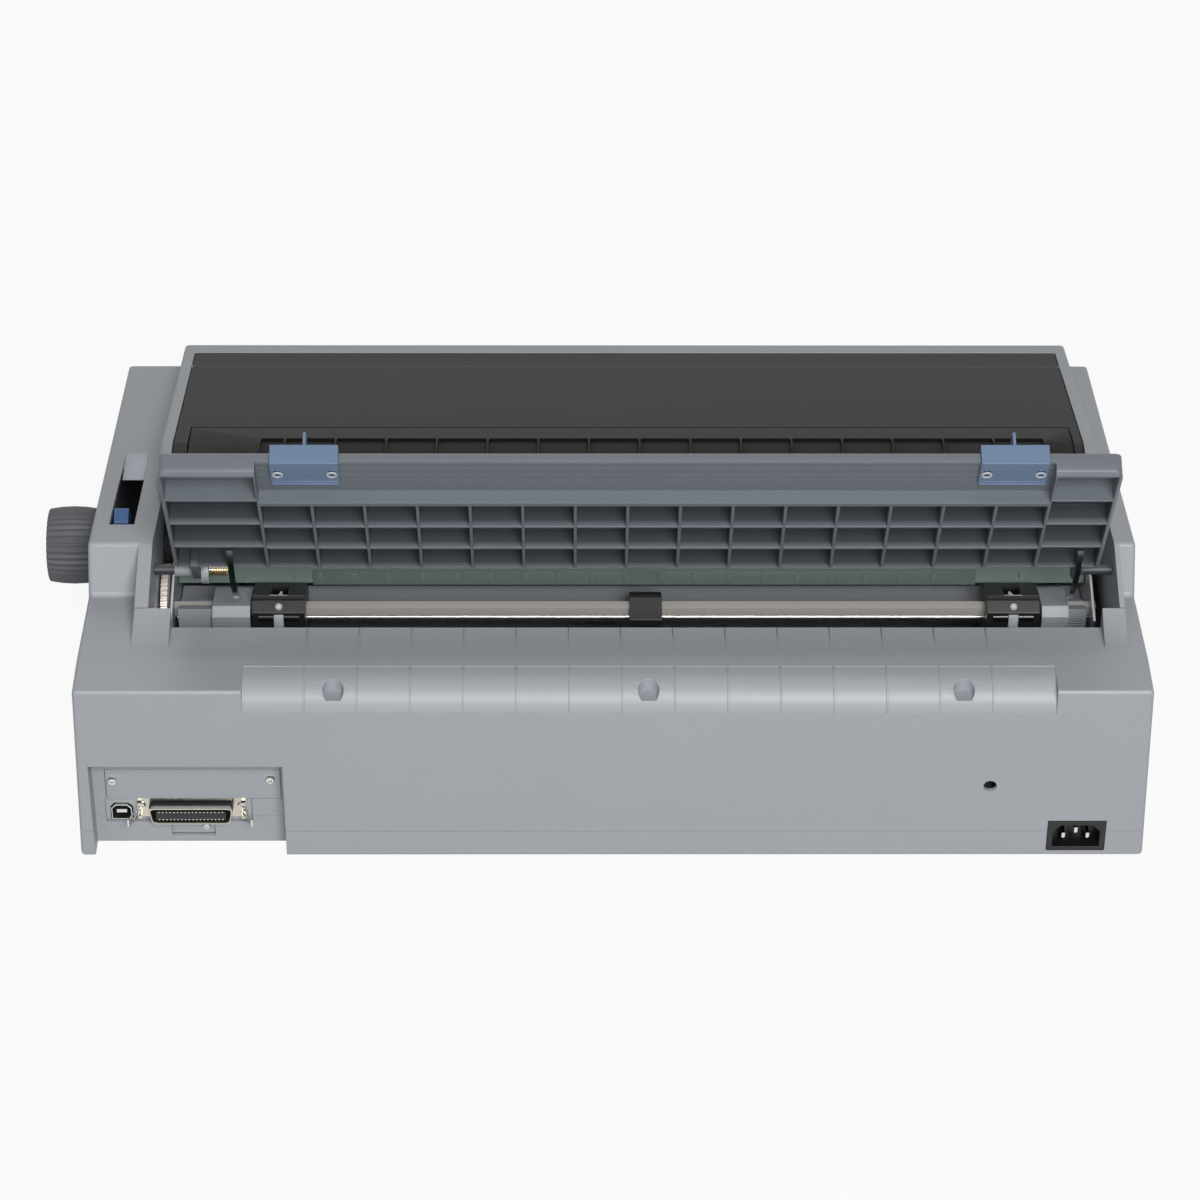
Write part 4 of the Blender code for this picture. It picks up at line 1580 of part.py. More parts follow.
def make_lever():
    """Paper release lever: a ring round the knob's hub, a stem and a head that stands in the shoulder's slot."""
    low, high = LEVER_X - LEVER_WIDTH / 2, LEVER_X + LEVER_WIDTH / 2
    pivot = (depth(PLATEN_DEPTH), PLATEN_HEIGHT)
    tip = (depth(LEVER_TIP_DEPTH), LEVER_TIP_HEIGHT)
    run = (Vector(tip) - Vector(pivot)).normalized()
    side = Vector((-run.y, run.x))
    base = Vector(tip) - run * LEVER_HEAD_TALL
    head = round_outline([tuple(Vector(tip) + side * LEVER_HEAD / 2), tuple(base + side * LEVER_HEAD / 2),
                          tuple(base - side * LEVER_HEAD / 2), tuple(Vector(tip) - side * LEVER_HEAD / 2)],
                         EDGE_RADIUS, 3)
    lever = prism("release_lever", head, "X", low, high)
    stem_end = Vector(pivot)
    stem = prism("stem", [tuple(base + run * EDGE_RADIUS + side * LEVER_STEM / 2), tuple(stem_end + side * LEVER_STEM / 2),
                          tuple(stem_end - side * LEVER_STEM / 2), tuple(base + run * EDGE_RADIUS - side * LEVER_STEM / 2)],
                 "X", low + LEVER_WIDTH / 4, high - LEVER_WIDTH / 4, cutter=True)
    hub = rod("hub", "X", (low, *pivot), LEVER_WIDTH, KNOB_HUB_RADIUS + CLEARANCE + LEVER_RING, True, 32)
    join(lever, stem, hub)
    cut(lever, rod("bore", "X", (low - OVERRUN, *pivot), LEVER_WIDTH + 2 * OVERRUN,
                   KNOB_HUB_RADIUS + CLEARANCE, True, 32))
    finish(set_pivot(lever, (LEVER_X, *pivot)), LEVER_BLUE)


def make_ports():
    """Connector bracket, slot plate, USB and parallel sockets with their bails, and the mains inlet."""
    back = depth(PORT_DEPTH + CASE_WALL + GAP)
    margin = PORT_PLATE_MARGIN
    bracket = box("connector_bracket", (SOCKET_RIGHT - margin, back - SHEET, TAB_BOTTOM),
                  (SOCKET_LEFT + margin, back, SLOT_BOTTOM + margin))
    slot_plate = box("slot_cover_plate", (SLOT_RIGHT + GAP, depth(PORT_DEPTH + SHEET), SLOT_BOTTOM + GAP),
                     (SLOT_LEFT - GAP, depth(PORT_DEPTH), SLOT_TOP - GAP))
    finish(slot_plate, CASE_GREY)
    usb_low, usb_high = USB_HEIGHT - USB_TALL / 2, USB_HEIGHT + USB_TALL / 2
    half = USB_WIDTH / 2
    usb_outline = [(USB_X - half, usb_low), (USB_X + half, usb_low), (USB_X + half, usb_high - USB_CHAMFER),
                   (USB_X + half - USB_CHAMFER, usb_high), (USB_X - half + USB_CHAMFER, usb_high),
                   (USB_X - half, usb_high - USB_CHAMFER)]
    usb_mouth = back + CASE_WALL / 2
    usb = prism("usb_socket", usb_outline, "Y", usb_mouth - USB_LENGTH, usb_mouth)
    share = 1 - 2 * USB_WALL / USB_WIDTH
    tall_share = 1 - 2 * USB_WALL / USB_TALL
    inner = [(USB_X + (x - USB_X) * share, USB_HEIGHT + (z - USB_HEIGHT) * tall_share) for x, z in usb_outline]
    cut(usb, prism("usb_mouth", inner, "Y", usb_mouth - USB_LENGTH * 2 / 3, usb_mouth + OVERRUN, cutter=True))
    tongue = box("tongue", (USB_X - half / 2, usb_mouth - USB_LENGTH * 2 / 3 - USB_WALL, USB_HEIGHT - USB_WALL * 2),
                 (USB_X + half / 2, usb_mouth - USB_WALL * 2, USB_HEIGHT + USB_WALL * 2), True)
    finish(join(usb, tongue), CHROME)
    shell = prism("parallel_socket", dee(PARALLEL_SHELL, PARALLEL_SHELL_TALL), "Y", back + GAP, back + PARALLEL_REACH)
    flange = box("flange", (PARALLEL_X - PARALLEL_FLANGE / 2, back + GAP, PARALLEL_HEIGHT - PARALLEL_FLANGE_TALL / 2),
                 (PARALLEL_X + PARALLEL_FLANGE / 2, back + GAP + SHEET, PARALLEL_HEIGHT + PARALLEL_FLANGE_TALL / 2), True)
    body = prism("body", dee(PARALLEL_SHELL - 4 * SHEET, PARALLEL_SHELL_TALL - 3 * SHEET), "Y",
                 back - PARALLEL_REACH, back + SHEET, cutter=True)
    join(shell, flange, body)
    wall = PARALLEL_WALL
    mouth = prism("parallel_mouth", dee(PARALLEL_SHELL - 2 * wall, PARALLEL_SHELL_TALL - 2 * wall), "Y",
                  back + 2 * SHEET, back + PARALLEL_REACH + OVERRUN, cutter=True)
    cut(shell, mouth)
    rest = box("contact_tongue", (PARALLEL_X - PARALLEL_TONGUE / 2, back + SHEET, PARALLEL_HEIGHT - PARALLEL_TONGUE_TALL / 2),
               (PARALLEL_X + PARALLEL_TONGUE / 2, back + PARALLEL_REACH - wall, PARALLEL_HEIGHT + PARALLEL_TONGUE_TALL / 2), True)
    join(shell, rest)
    ears = []
    bores = []
    for side in (-1, 1):
        x = PARALLEL_X + side * BAIL_SPAN / 2
        for lift in (-1, 1):
            z = PARALLEL_HEIGHT + lift * BAIL_WIDTH / 2
            ears.append(box("ear", (x - BAIL_WIRE * 2, back + SHEET / 2, z - BAIL_WIRE * 2 + lift * BAIL_WIRE * 3.5),
                            (x + BAIL_WIRE * 2, back + SHEET + BAIL_WIRE * 6, z + BAIL_WIRE * 2 + lift * BAIL_WIRE * 3.5), True))
    join(shell, *ears)
    finish(shell, NICKEL)
    opening = prism("opening", dee(PARALLEL_SHELL - SHEET, PARALLEL_SHELL_TALL - SHEET), "Y", back - 2 * SHEET,
                    back + OVERRUN, cutter=True)
    usb_hole = prism("usb_hole", [(USB_X + (x - USB_X) * (1 + 2 * GAP / half), USB_HEIGHT + (z - USB_HEIGHT) * (1 + 2 * GAP / half))
                                  for x, z in usb_outline], "Y", back - 2 * SHEET, back + OVERRUN, cutter=True)
    cut(bracket, opening, usb_hole)
    finish(bracket, STEEL)
    for name, side in (("bail_knob_side", 1), ("bail_far_side", -1)):
        x = PARALLEL_X + side * BAIL_SPAN / 2
        y = back + SHEET + BAIL_WIRE * 4
        reach = y + BAIL_LENGTH * math.cos(BAIL_LEAN)
        out = x + side * BAIL_LENGTH * math.sin(BAIL_LEAN)
        half_wide = BAIL_WIDTH / 2
        points = [(x, y, PARALLEL_HEIGHT - half_wide), (out, reach, PARALLEL_HEIGHT - half_wide * 0.8),
                  (out, reach, PARALLEL_HEIGHT + half_wide * 0.8), (x, y, PARALLEL_HEIGHT + half_wide)]
        bail = wire(name, points, BAIL_WIRE)
        finish(set_pivot(bail, (x, y, PARALLEL_HEIGHT)), CHROME, math.radians(40))


def dee(width, tall):
    """The parallel socket's outline, a little wider at its top than at its bottom."""
    half, rise, slant = width / 2, tall / 2, tall / 6
    corners = [(PARALLEL_X - half + slant, PARALLEL_HEIGHT - rise), (PARALLEL_X + half - slant, PARALLEL_HEIGHT - rise),
               (PARALLEL_X + half, PARALLEL_HEIGHT + rise), (PARALLEL_X - half, PARALLEL_HEIGHT + rise)]
    return round_outline(corners, tall / 4, 3)


def make_inlet():
    """Three-pin mains inlet with its bezel flush in the rear wall."""
    low, high = -INLET_FAR, -INLET_NEAR
    body = box("mains_inlet", (low, depth(INLET_LENGTH), INLET_BOTTOM), (high, depth(0), INLET_TOP))
    rim, chamfer = INLET_RIM, INLET_RIM * 1.5
    mouth_corners = [(low + rim, INLET_BOTTOM + rim), (high - rim, INLET_BOTTOM + rim),
                     (high - rim, INLET_TOP - rim - chamfer), (high - rim - chamfer, INLET_TOP - rim),
                     (low + rim + chamfer, INLET_TOP - rim), (low + rim, INLET_TOP - rim - chamfer)]
    mouth = prism("inlet_mouth", mouth_corners, "Y", depth(INLET_CAVITY), depth(-OVERRUN), cutter=True)
    cut(body, mouth)
    middle_x, middle_z = (low + high) / 2, (INLET_BOTTOM + INLET_TOP) / 2
    pins = []
    for place, lift in ((-INLET_PIN_PITCH / 2, -INLET_PIN_SHORT), (0, INLET_PIN_SHORT), (INLET_PIN_PITCH / 2, -INLET_PIN_SHORT)):
        x, z = middle_x + place, middle_z + lift
        pins.append(box("pin", (x - INLET_PIN_WIDTH / 2, depth(INLET_CAVITY + GAP), z - INLET_PIN_TALL / 2),
                        (x + INLET_PIN_WIDTH / 2, depth(INLET_RIM), z + INLET_PIN_TALL / 2), True))
    join(body, *pins)
    finish(body, BLACK)


def make_boards():
    """Main board behind the sockets and the supply board behind the mains inlet."""
    base = CASE_BOTTOM + CASE_WALL
    board = box("main_board", (SOCKET_RIGHT - PORT_PLATE_MARGIN, depth(BOARD_FRONT), base + BOARD_HEIGHT / 3),
                (SOCKET_LEFT - 2 * PORT_PLATE_MARGIN, depth(PORT_DEPTH + 2 * PORT_PLATE_MARGIN), base + BOARD_HEIGHT / 3 + BOARD_THICK))
    posts = [box("stand", (x - BOSS_BORE, depth(place), base + GAP), (x + BOSS_BORE, depth(place - BOSS_RADIUS), base + BOARD_HEIGHT / 2), True)
             for x in (SOCKET_RIGHT + BOSS_RADIUS, SOCKET_LEFT - 4 * BOSS_RADIUS) for place in (PORT_DEPTH + 6 * BOSS_RADIUS, BOARD_FRONT - BOSS_RADIUS)]
    join(board, *posts)
    finish(board, BOARD_GREEN)
    supply = box("power_supply_board", (-FRAME_FAR + FRAME_SHEET + OVERRUN, depth(SUPPLY_FRONT), base + BOARD_HEIGHT / 3),
                 (-SUPPLY_NEAR, depth(INLET_LENGTH + OVERRUN), base + BOARD_HEIGHT / 3 + BOARD_THICK))
    blocks = [box("stand", (-FRAME_FAR + 4 * BOSS_RADIUS, depth(SUPPLY_FRONT - 2 * BOSS_RADIUS), base + GAP),
                  (-SUPPLY_NEAR - 4 * BOSS_RADIUS, depth(INLET_LENGTH + 4 * BOSS_RADIUS), base + BOARD_HEIGHT), True),
              box("transformer", (-FRAME_FAR + 4 * BOSS_RADIUS, depth(SUPPLY_FRONT - 2 * BOSS_RADIUS), base + BOARD_HEIGHT / 2),
                  (-FRAME_FAR + 12 * BOSS_RADIUS, depth(SUPPLY_FRONT - 10 * BOSS_RADIUS), base + BOARD_HEIGHT * 3), True)]
    join(supply, *blocks)
    finish(supply, BOARD_GREEN)


make_lower_case()
make_upper_case()
make_feet()
make_side_frames()
make_platen()
make_gear_train()
make_guide_plates()
make_tractor_group()
make_knob()
make_carriage_group()
make_cover()
make_flap()
make_sheet_guide()
make_lever()
make_ports()
make_inlet()
make_control_panel()
make_front_parts()
make_boards()
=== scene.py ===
import math
import bmesh
import bpy
from mathutils import Matrix, Vector


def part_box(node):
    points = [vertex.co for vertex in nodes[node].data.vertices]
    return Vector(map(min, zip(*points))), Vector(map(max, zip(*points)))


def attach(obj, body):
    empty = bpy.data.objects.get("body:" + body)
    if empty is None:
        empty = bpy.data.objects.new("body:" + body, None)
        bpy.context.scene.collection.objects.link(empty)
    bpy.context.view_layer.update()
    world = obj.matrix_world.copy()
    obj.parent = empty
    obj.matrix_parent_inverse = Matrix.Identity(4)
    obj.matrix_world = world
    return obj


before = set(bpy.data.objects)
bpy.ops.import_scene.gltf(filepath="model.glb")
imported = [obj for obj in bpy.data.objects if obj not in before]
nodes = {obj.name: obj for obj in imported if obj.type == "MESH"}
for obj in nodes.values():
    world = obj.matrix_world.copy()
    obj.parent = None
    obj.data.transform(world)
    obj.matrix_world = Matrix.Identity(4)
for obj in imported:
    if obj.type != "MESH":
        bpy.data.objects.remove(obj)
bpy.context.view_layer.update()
scene = bpy.context.scene
mm = 0.001
print("frame loaded:", len(nodes), "nodes")


def mathNode(tree, operation, first, second=None, clamp=False):
    node = tree.nodes.new("ShaderNodeMath")
    node.operation = operation
    node.use_clamp = clamp
    for place, value in enumerate((first, second)):
        if value is None:
            continue
        if isinstance(value, (int, float)):
            node.inputs[place].default_value = value
        else:
            tree.links.new(value, node.inputs[place])
    return node.outputs[0]


# camera, floor and light

cameraSetup = {
    "turn": 0.53,          # degrees off the straight rear view
    "height": 36.0,        # degrees above the horizon
    "roll": 0.31,
    "place": (10.1 * mm, 1950.2 * mm, 1457.5 * mm),
    "lens": 117.15,
    "sensor": 36.0,
    "clip": (0.05, 50.0),
}


def addCamera(setup):
    turn, height, roll = (math.radians(setup[key]) for key in ("turn", "height", "roll"))
    flat = math.cos(height)
    ahead = Vector((-math.sin(turn) * flat, -math.cos(turn) * flat, -math.sin(height)))
    level = Vector((-math.cos(turn), math.sin(turn), 0))
    above = level.cross(ahead)
    right = level * math.cos(roll) + above * math.sin(roll)
    up = above * math.cos(roll) - level * math.sin(roll)
    data = bpy.data.cameras.new("rearCamera")
    data.lens = setup["lens"]
    data.sensor_width = setup["sensor"]
    data.clip_start, data.clip_end = setup["clip"]
    camera = bpy.data.objects.new("rearCamera", data)
    scene.collection.objects.link(camera)
    turned = Matrix((right, up, -ahead)).transposed().to_4x4()
    camera.matrix_world = Matrix.Translation(setup["place"]) @ turned
    scene.camera = camera


addCamera(cameraSetup)

lightSetup = {
    "worldLight": 0.1,
    "keyPower": 128.0,
    "fillPower": 7.0,
    "rimPower": 8.0,
    "keyPlace": (-0.5, 2.9, 2.25),
    "fillPlace": (1.9, 2.2, 1.2),
    "rimPlace": (0.3, -2.0, 2.0),
    "keySize": 1.6,
    "softSize": 1.8,
    "aim": (0, 0, 0.1),
}


def addAreaLight(name, place, power, size):
    data = bpy.data.lights.new(name, "AREA")
    data.energy = power
    data.shape = "DISK"
    data.size = size
    lamp = bpy.data.objects.new(name, data)
    scene.collection.objects.link(lamp)
    aim = (Vector(lightSetup["aim"]) - Vector(place)).to_track_quat("-Z", "Y")
    lamp.matrix_world = Matrix.Translation(place) @ aim.to_matrix().to_4x4()


def seenByEye(tree):
    # one where a camera, glossy or transmission ray meets the surface
    path = tree.nodes.new("ShaderNodeLightPath")
    first = tree.nodes.new("ShaderNodeMath")
    first.operation = "MAXIMUM"
    second = tree.nodes.new("ShaderNodeMath")
    second.operation = "MAXIMUM"
    tree.links.new(path.outputs["Is Camera Ray"], first.inputs[0])
    tree.links.new(path.outputs["Is Glossy Ray"], first.inputs[1])
    tree.links.new(first.outputs[0], second.inputs[0])
    tree.links.new(path.outputs["Is Transmission Ray"], second.inputs[1])
    return second.outputs[0]


def lightTheRoom(setup):
    world = bpy.data.worlds.new("studio")
    scene.world = world
    world.use_nodes = True
    tree = world.node_tree
    tree.nodes.clear()
    lit = tree.nodes.new("ShaderNodeBackground")
    lit.inputs["Color"].default_value = (1, 1, 1, 1)
    lit.inputs["Strength"].default_value = setup["worldLight"]
    seen = tree.nodes.new("ShaderNodeBackground")
    seen.inputs["Color"].default_value = (1, 1, 1, 1)
    seen.inputs["Strength"].default_value = 1.0
    mix = tree.nodes.new("ShaderNodeMixShader")
    out = tree.nodes.new("ShaderNodeOutputWorld")
    tree.links.new(seenByEye(tree), mix.inputs[0])
    tree.links.new(lit.outputs[0], mix.inputs[1])
    tree.links.new(seen.outputs[0], mix.inputs[2])
    tree.links.new(mix.outputs[0], out.inputs[0])
    addAreaLight("keyLight", setup["keyPlace"], setup["keyPower"], setup["keySize"])
    addAreaLight("fillLight", setup["fillPlace"], setup["fillPower"], setup["softSize"])
    addAreaLight("rimLight", setup["rimPlace"], setup["rimPower"], setup["softSize"])


lightTheRoom(lightSetup)


floorSetup = {
    "half": 6.0,
    "colour": (0.42, 0.42, 0.42, 1),
    "roughness": 0.9,
    "shine": 0.1,
    "paper": 0.93,         # share of plain white that the camera sees; the rest keeps the shadow
}


def addFloor(setup):
    shape = bmesh.new()
    bmesh.ops.create_grid(shape, x_segments=1, y_segments=1, size=setup["half"])
    mesh = bpy.data.meshes.new("paleFloor")
    shape.to_mesh(mesh)
    shape.free()
    floor = bpy.data.objects.new("paleFloor", mesh)
    scene.collection.objects.link(floor)
    look = bpy.data.materials.new("paleFloor")
    look.use_nodes = True
    tree = look.node_tree
    shader = tree.nodes["Principled BSDF"]
    shader.inputs["Base Color"].default_value = setup["colour"]
    shader.inputs["Roughness"].default_value = setup["roughness"]
    shader.inputs["Specular IOR Level"].default_value = setup["shine"]
    paper = tree.nodes.new("ShaderNodeEmission")
    paper.inputs["Strength"].default_value = 1.0
    share = mathNode(tree, "MULTIPLY", seenByEye(tree), setup["paper"])
    mix = tree.nodes.new("ShaderNodeMixShader")
    tree.links.new(share, mix.inputs[0])
    tree.links.new(shader.outputs[0], mix.inputs[1])
    tree.links.new(paper.outputs[0], mix.inputs[2])
    tree.links.new(mix.outputs[0], tree.nodes["Material Output"].inputs["Surface"])
    mesh.materials.append(look)


addFloor(floorSetup)
scene.view_settings.view_transform = "Standard"
print("camera, floor and light set")


# shader groups that several finishes share

def newGroup(name, wanted, given):
    group = bpy.data.node_groups.new(name, "ShaderNodeTree")
    for label, value in wanted:
        kind = "NodeSocketColor" if isinstance(value, tuple) else "NodeSocketFloat"
        socket = group.interface.new_socket(name=label, in_out="INPUT", socket_type=kind)
        socket.default_value = value
    for label, kind in given:
        group.interface.new_socket(name=label, in_out="OUTPUT", socket_type=kind)
    return group, group.nodes.new("NodeGroupInput"), group.nodes.new("NodeGroupOutput")


def noiseNode(tree, vector, scale, detail=2.0, rough=0.5):
    node = tree.nodes.new("ShaderNodeTexNoise")
    node.inputs["Detail"].default_value = detail
    node.inputs["Roughness"].default_value = rough
    if isinstance(scale, (int, float)):
        node.inputs["Scale"].default_value = scale
    else:
        tree.links.new(scale, node.inputs["Scale"])
    tree.links.new(vector, node.inputs["Vector"])
    return node.outputs["Fac"]


grainSetup = {
    "inputs": (("Colour", (0.5, 0.5, 0.5, 1)), ("Grain Size", 1400.0), ("Grain Depth", 0.12),
               ("Blotch", 0.05), ("Roughness", 0.5), ("Roughness Play", 0.08)),
    "fine": (3.0, 0.6),               # detail and roughness of the noise
    "wide": (9.0, 4.0, 0.55),         # scale, detail, roughness
    "smear": (46.0, 3.0, 0.6),
    "height": 0.00012,
    "middle": 0.5,
    "smearShare": 0.5,
    "speckShare": 0.6,
}
finishOutputs = (
    ("Colour", "NodeSocketColor"), ("Roughness", "NodeSocketFloat"), ("Normal", "NodeSocketVector"))


def bumpNode(tree, distance, strength, height):
    bump = tree.nodes.new("ShaderNodeBump")
    bump.inputs["Distance"].default_value = distance
    tree.links.new(strength, bump.inputs["Strength"])
    tree.links.new(height, bump.inputs["Height"])
    return bump.outputs["Normal"]


def scaledColour(tree, colour, amount):
    scaled = tree.nodes.new("ShaderNodeVectorMath")
    scaled.operation = "SCALE"
    tree.links.new(colour, scaled.inputs[0])
    tree.links.new(amount, scaled.inputs["Scale"])
    return scaled.outputs[0]


def buildGrain(setup):
    # spark-eroded mould texture: a fine height, and a soft blotch in colour and gloss
    group, given, out = newGroup("mouldGrain", setup["inputs"], finishOutputs)
    asked = given.outputs
    place = group.nodes.new("ShaderNodeTexCoord").outputs["Object"]
    fine = noiseNode(group, place, asked["Grain Size"], *setup["fine"])
    wide = noiseNode(group, place, *setup["wide"])
    smear = noiseNode(group, place, *setup["smear"])
    wideSwing = mathNode(group, "SUBTRACT", wide, setup["middle"])
    smearSwing = mathNode(group, "SUBTRACT", smear, setup["middle"])
    both = mathNode(group, "ADD", wideSwing, mathNode(group, "MULTIPLY", smearSwing, setup["smearShare"]))
    shade = mathNode(group, "ADD", 1.0, mathNode(group, "MULTIPLY", both, asked["Blotch"]))
    fineSwing = mathNode(group, "SUBTRACT", fine, setup["middle"])
    speckSize = mathNode(group, "MULTIPLY", asked["Blotch"], setup["speckShare"])
    speck = mathNode(group, "ADD", shade, mathNode(group, "MULTIPLY", fineSwing, speckSize))
    play = mathNode(group, "MULTIPLY", both, asked["Roughness Play"])
    rough = mathNode(group, "ADD", asked["Roughness"], play, clamp=True)
    normal = bumpNode(group, setup["height"], asked["Grain Depth"], fine)
    group.links.new(scaledColour(group, asked["Colour"], speck), out.inputs["Colour"])
    group.links.new(rough, out.inputs["Roughness"])
    group.links.new(normal, out.inputs["Normal"])
    return group


grainGroup = buildGrain(grainSetup)


brushedSetup = {
    "inputs": (("Colour", (0.6, 0.6, 0.6, 1)), ("Stretch", 60.0), ("Depth", 0.15),
               ("Roughness", 0.3), ("Tarnish", 0.12)),
    "stretched": (6.0, 420.0, 420.0),
    "lines": (3.0, 3.0, 0.6),         # scale, detail, roughness
    "cloud": (4.0, 0.6),
    "height": 0.00005,
    "middle": 0.5,
    "dullShare": 0.8,
}


def buildBrushed(setup):
    # drawn or ground metal: lines along X, with a little tarnish
    group, given, out = newGroup("drawnMetal", setup["inputs"], finishOutputs)
    asked = given.outputs
    place = group.nodes.new("ShaderNodeTexCoord").outputs["Object"]
    mapping = group.nodes.new("ShaderNodeMapping")
    mapping.inputs["Scale"].default_value = setup["stretched"]
    group.links.new(place, mapping.inputs["Vector"])
    lines = noiseNode(group, mapping.outputs[0], *setup["lines"])
    cloud = noiseNode(group, place, asked["Stretch"], *setup["cloud"])
    cloudSwing = mathNode(group, "SUBTRACT", cloud, setup["middle"])
    dull = mathNode(group, "MULTIPLY", cloudSwing, asked["Tarnish"])
    shade = mathNode(group, "ADD", 1.0, dull)
    loss = mathNode(group, "MULTIPLY", dull, setup["dullShare"])
    rough = mathNode(group, "SUBTRACT", asked["Roughness"], loss, clamp=True)
    normal = bumpNode(group, setup["height"], asked["Depth"], lines)
    group.links.new(scaledColour(group, asked["Colour"], shade), out.inputs["Colour"])
    group.links.new(rough, out.inputs["Roughness"])
    group.links.new(normal, out.inputs["Normal"])
    return group


brushedGroup = buildBrushed(brushedSetup)


def groupedMaterial(name, group, values, metallic=0.0):
    look = bpy.data.materials.new(name)
    look.use_nodes = True
    tree = look.node_tree
    shader = tree.nodes["Principled BSDF"]
    node = tree.nodes.new("ShaderNodeGroup")
    node.node_tree = group
    for label, value in values.items():
        node.inputs[label].default_value = (*value, 1) if isinstance(value, tuple) else value
    tree.links.new(node.outputs["Colour"], shader.inputs["Base Color"])
    tree.links.new(node.outputs["Roughness"], shader.inputs["Roughness"])
    tree.links.new(node.outputs["Normal"], shader.inputs["Normal"])
    shader.inputs["Metallic"].default_value = metallic
    look.diffuse_color = (*values["Colour"], 1)
    return look


def plastic(name, colour, roughness=0.5, size=1400.0, depth=0.12, blotch=0.05):
    values = {"Colour": colour, "Roughness": roughness, "Grain Size": size, "Grain Depth": depth,
              "Blotch": blotch}
    return groupedMaterial(name, grainGroup, values)


def metal(name, colour, roughness=0.3, depth=0.15, stretch=60.0, tarnish=0.12, metallic=1.0):
    values = {"Colour": colour, "Roughness": roughness, "Depth": depth, "Stretch": stretch,
              "Tarnish": tarnish}
    return groupedMaterial(name, brushedGroup, values, metallic)


caseGrey = plastic("caseGrey", (0.315, 0.335, 0.36), 0.47, depth=0.22)
guideGrey = plastic("guideGrey", (0.128, 0.145, 0.165), 0.45, depth=0.2)
panelGrey = plastic("panelGrey", (0.27, 0.285, 0.31), 0.5)
blockGrey = plastic("blockGrey", (0.29, 0.305, 0.33), 0.42, blotch=0.08)
trayGrey = plastic("trayGrey", (0.29, 0.305, 0.33), 0.45)
knobGrey = plastic("knobGrey", (0.066, 0.07, 0.078), 0.55, depth=0.3)
buttonGrey = plastic("buttonGrey", (0.42, 0.43, 0.45), 0.45)
guideBlue = plastic("guideBlue", (0.125, 0.185, 0.285), 0.4)
leverBlue = plastic("leverBlue", (0.04, 0.10, 0.25), 0.4)
blackPlastic = plastic("blackPlastic", (0.012, 0.0125, 0.0135), 0.38, depth=0.1, blotch=0.25)
blackGloss = plastic("blackGloss", (0.008, 0.008, 0.009), 0.22, depth=0.04, blotch=0.2)
acetalWhite = plastic("acetalWhite", (0.60, 0.60, 0.57), 0.42, depth=0.08)
rubberBlack = plastic("rubberBlack", (0.018, 0.018, 0.018), 0.82, 900.0, 0.35, 0.3)
boardGreen = plastic("boardGreen", (0.018, 0.085, 0.04), 0.4, blotch=0.3)
zincSteel = metal("zincSteel", (0.55, 0.565, 0.575), 0.36, 0.08, 140.0, 0.25)
groundSteel = metal("groundSteel", (0.62, 0.60, 0.565), 0.24, 0.2, 30.0, 0.1)
nickelBar = metal("nickelBar", (0.70, 0.65, 0.60), 0.4, 0.3, 24.0, 0.16, 0.55)
nickelShell = metal("nickelShell", (0.62, 0.585, 0.50), 0.27, 0.05, 200.0, 0.2)
brightPlate = metal("brightPlate", (0.72, 0.72, 0.71), 0.18, 0.03, 200.0, 0.1)
castAluminium = metal("castAluminium", (0.55, 0.56, 0.57), 0.45, 0.1, 300.0, 0.25)
brassTurned = metal("brassTurned", (0.62, 0.47, 0.20), 0.3, 0.1, 100.0, 0.2)


sheetSetup = {"grain": 0.03, "blotch": 0.15}


def clearPlastic(name, colour, alpha, roughness, shine):
    # tinted sheet: part of it is simply open to what lies behind
    look = bpy.data.materials.new(name)
    look.use_nodes = True
    tree = look.node_tree
    shader = tree.nodes["Principled BSDF"]
    node = tree.nodes.new("ShaderNodeGroup")
    node.node_tree = grainGroup
    node.inputs["Colour"].default_value = (*colour, 1)
    node.inputs["Roughness"].default_value = roughness
    node.inputs["Grain Depth"].default_value = sheetSetup["grain"]
    node.inputs["Blotch"].default_value = sheetSetup["blotch"]
    tree.links.new(node.outputs["Colour"], shader.inputs["Base Color"])
    tree.links.new(node.outputs["Roughness"], shader.inputs["Roughness"])
    tree.links.new(node.outputs["Normal"], shader.inputs["Normal"])
    shader.inputs["Alpha"].default_value = alpha
    shader.inputs["Specular IOR Level"].default_value = shine
    look.diffuse_color = (*colour, alpha)
    return look


smokeClear = clearPlastic("smokeClear", (0.015, 0.0148, 0.0142), 0.88, 0.3, 0.08)
greenClear = clearPlastic("greenClear", (0.23, 0.29, 0.28), 0.88, 0.3, 0.35)
eyeletPale = plastic("eyeletPale", (0.46, 0.49, 0.53), 0.35, depth=0.05)
greenPale = plastic("greenPale", (0.14, 0.185, 0.175), 0.35, depth=0.05)
rampPale = plastic("rampPale", (0.40, 0.42, 0.47), 0.4, depth=0.08)
lampGreen = plastic("lampGreen", (0.06, 0.32, 0.10), 0.2, depth=0.02)
foamBlack = plastic("foamBlack", (0.011, 0.011, 0.012), 0.95, 420.0, 1.0, 0.9)
bracketPaint = plastic("bracketPaint", (0.33, 0.36, 0.375), 0.4, depth=0.05, blotch=0.08)

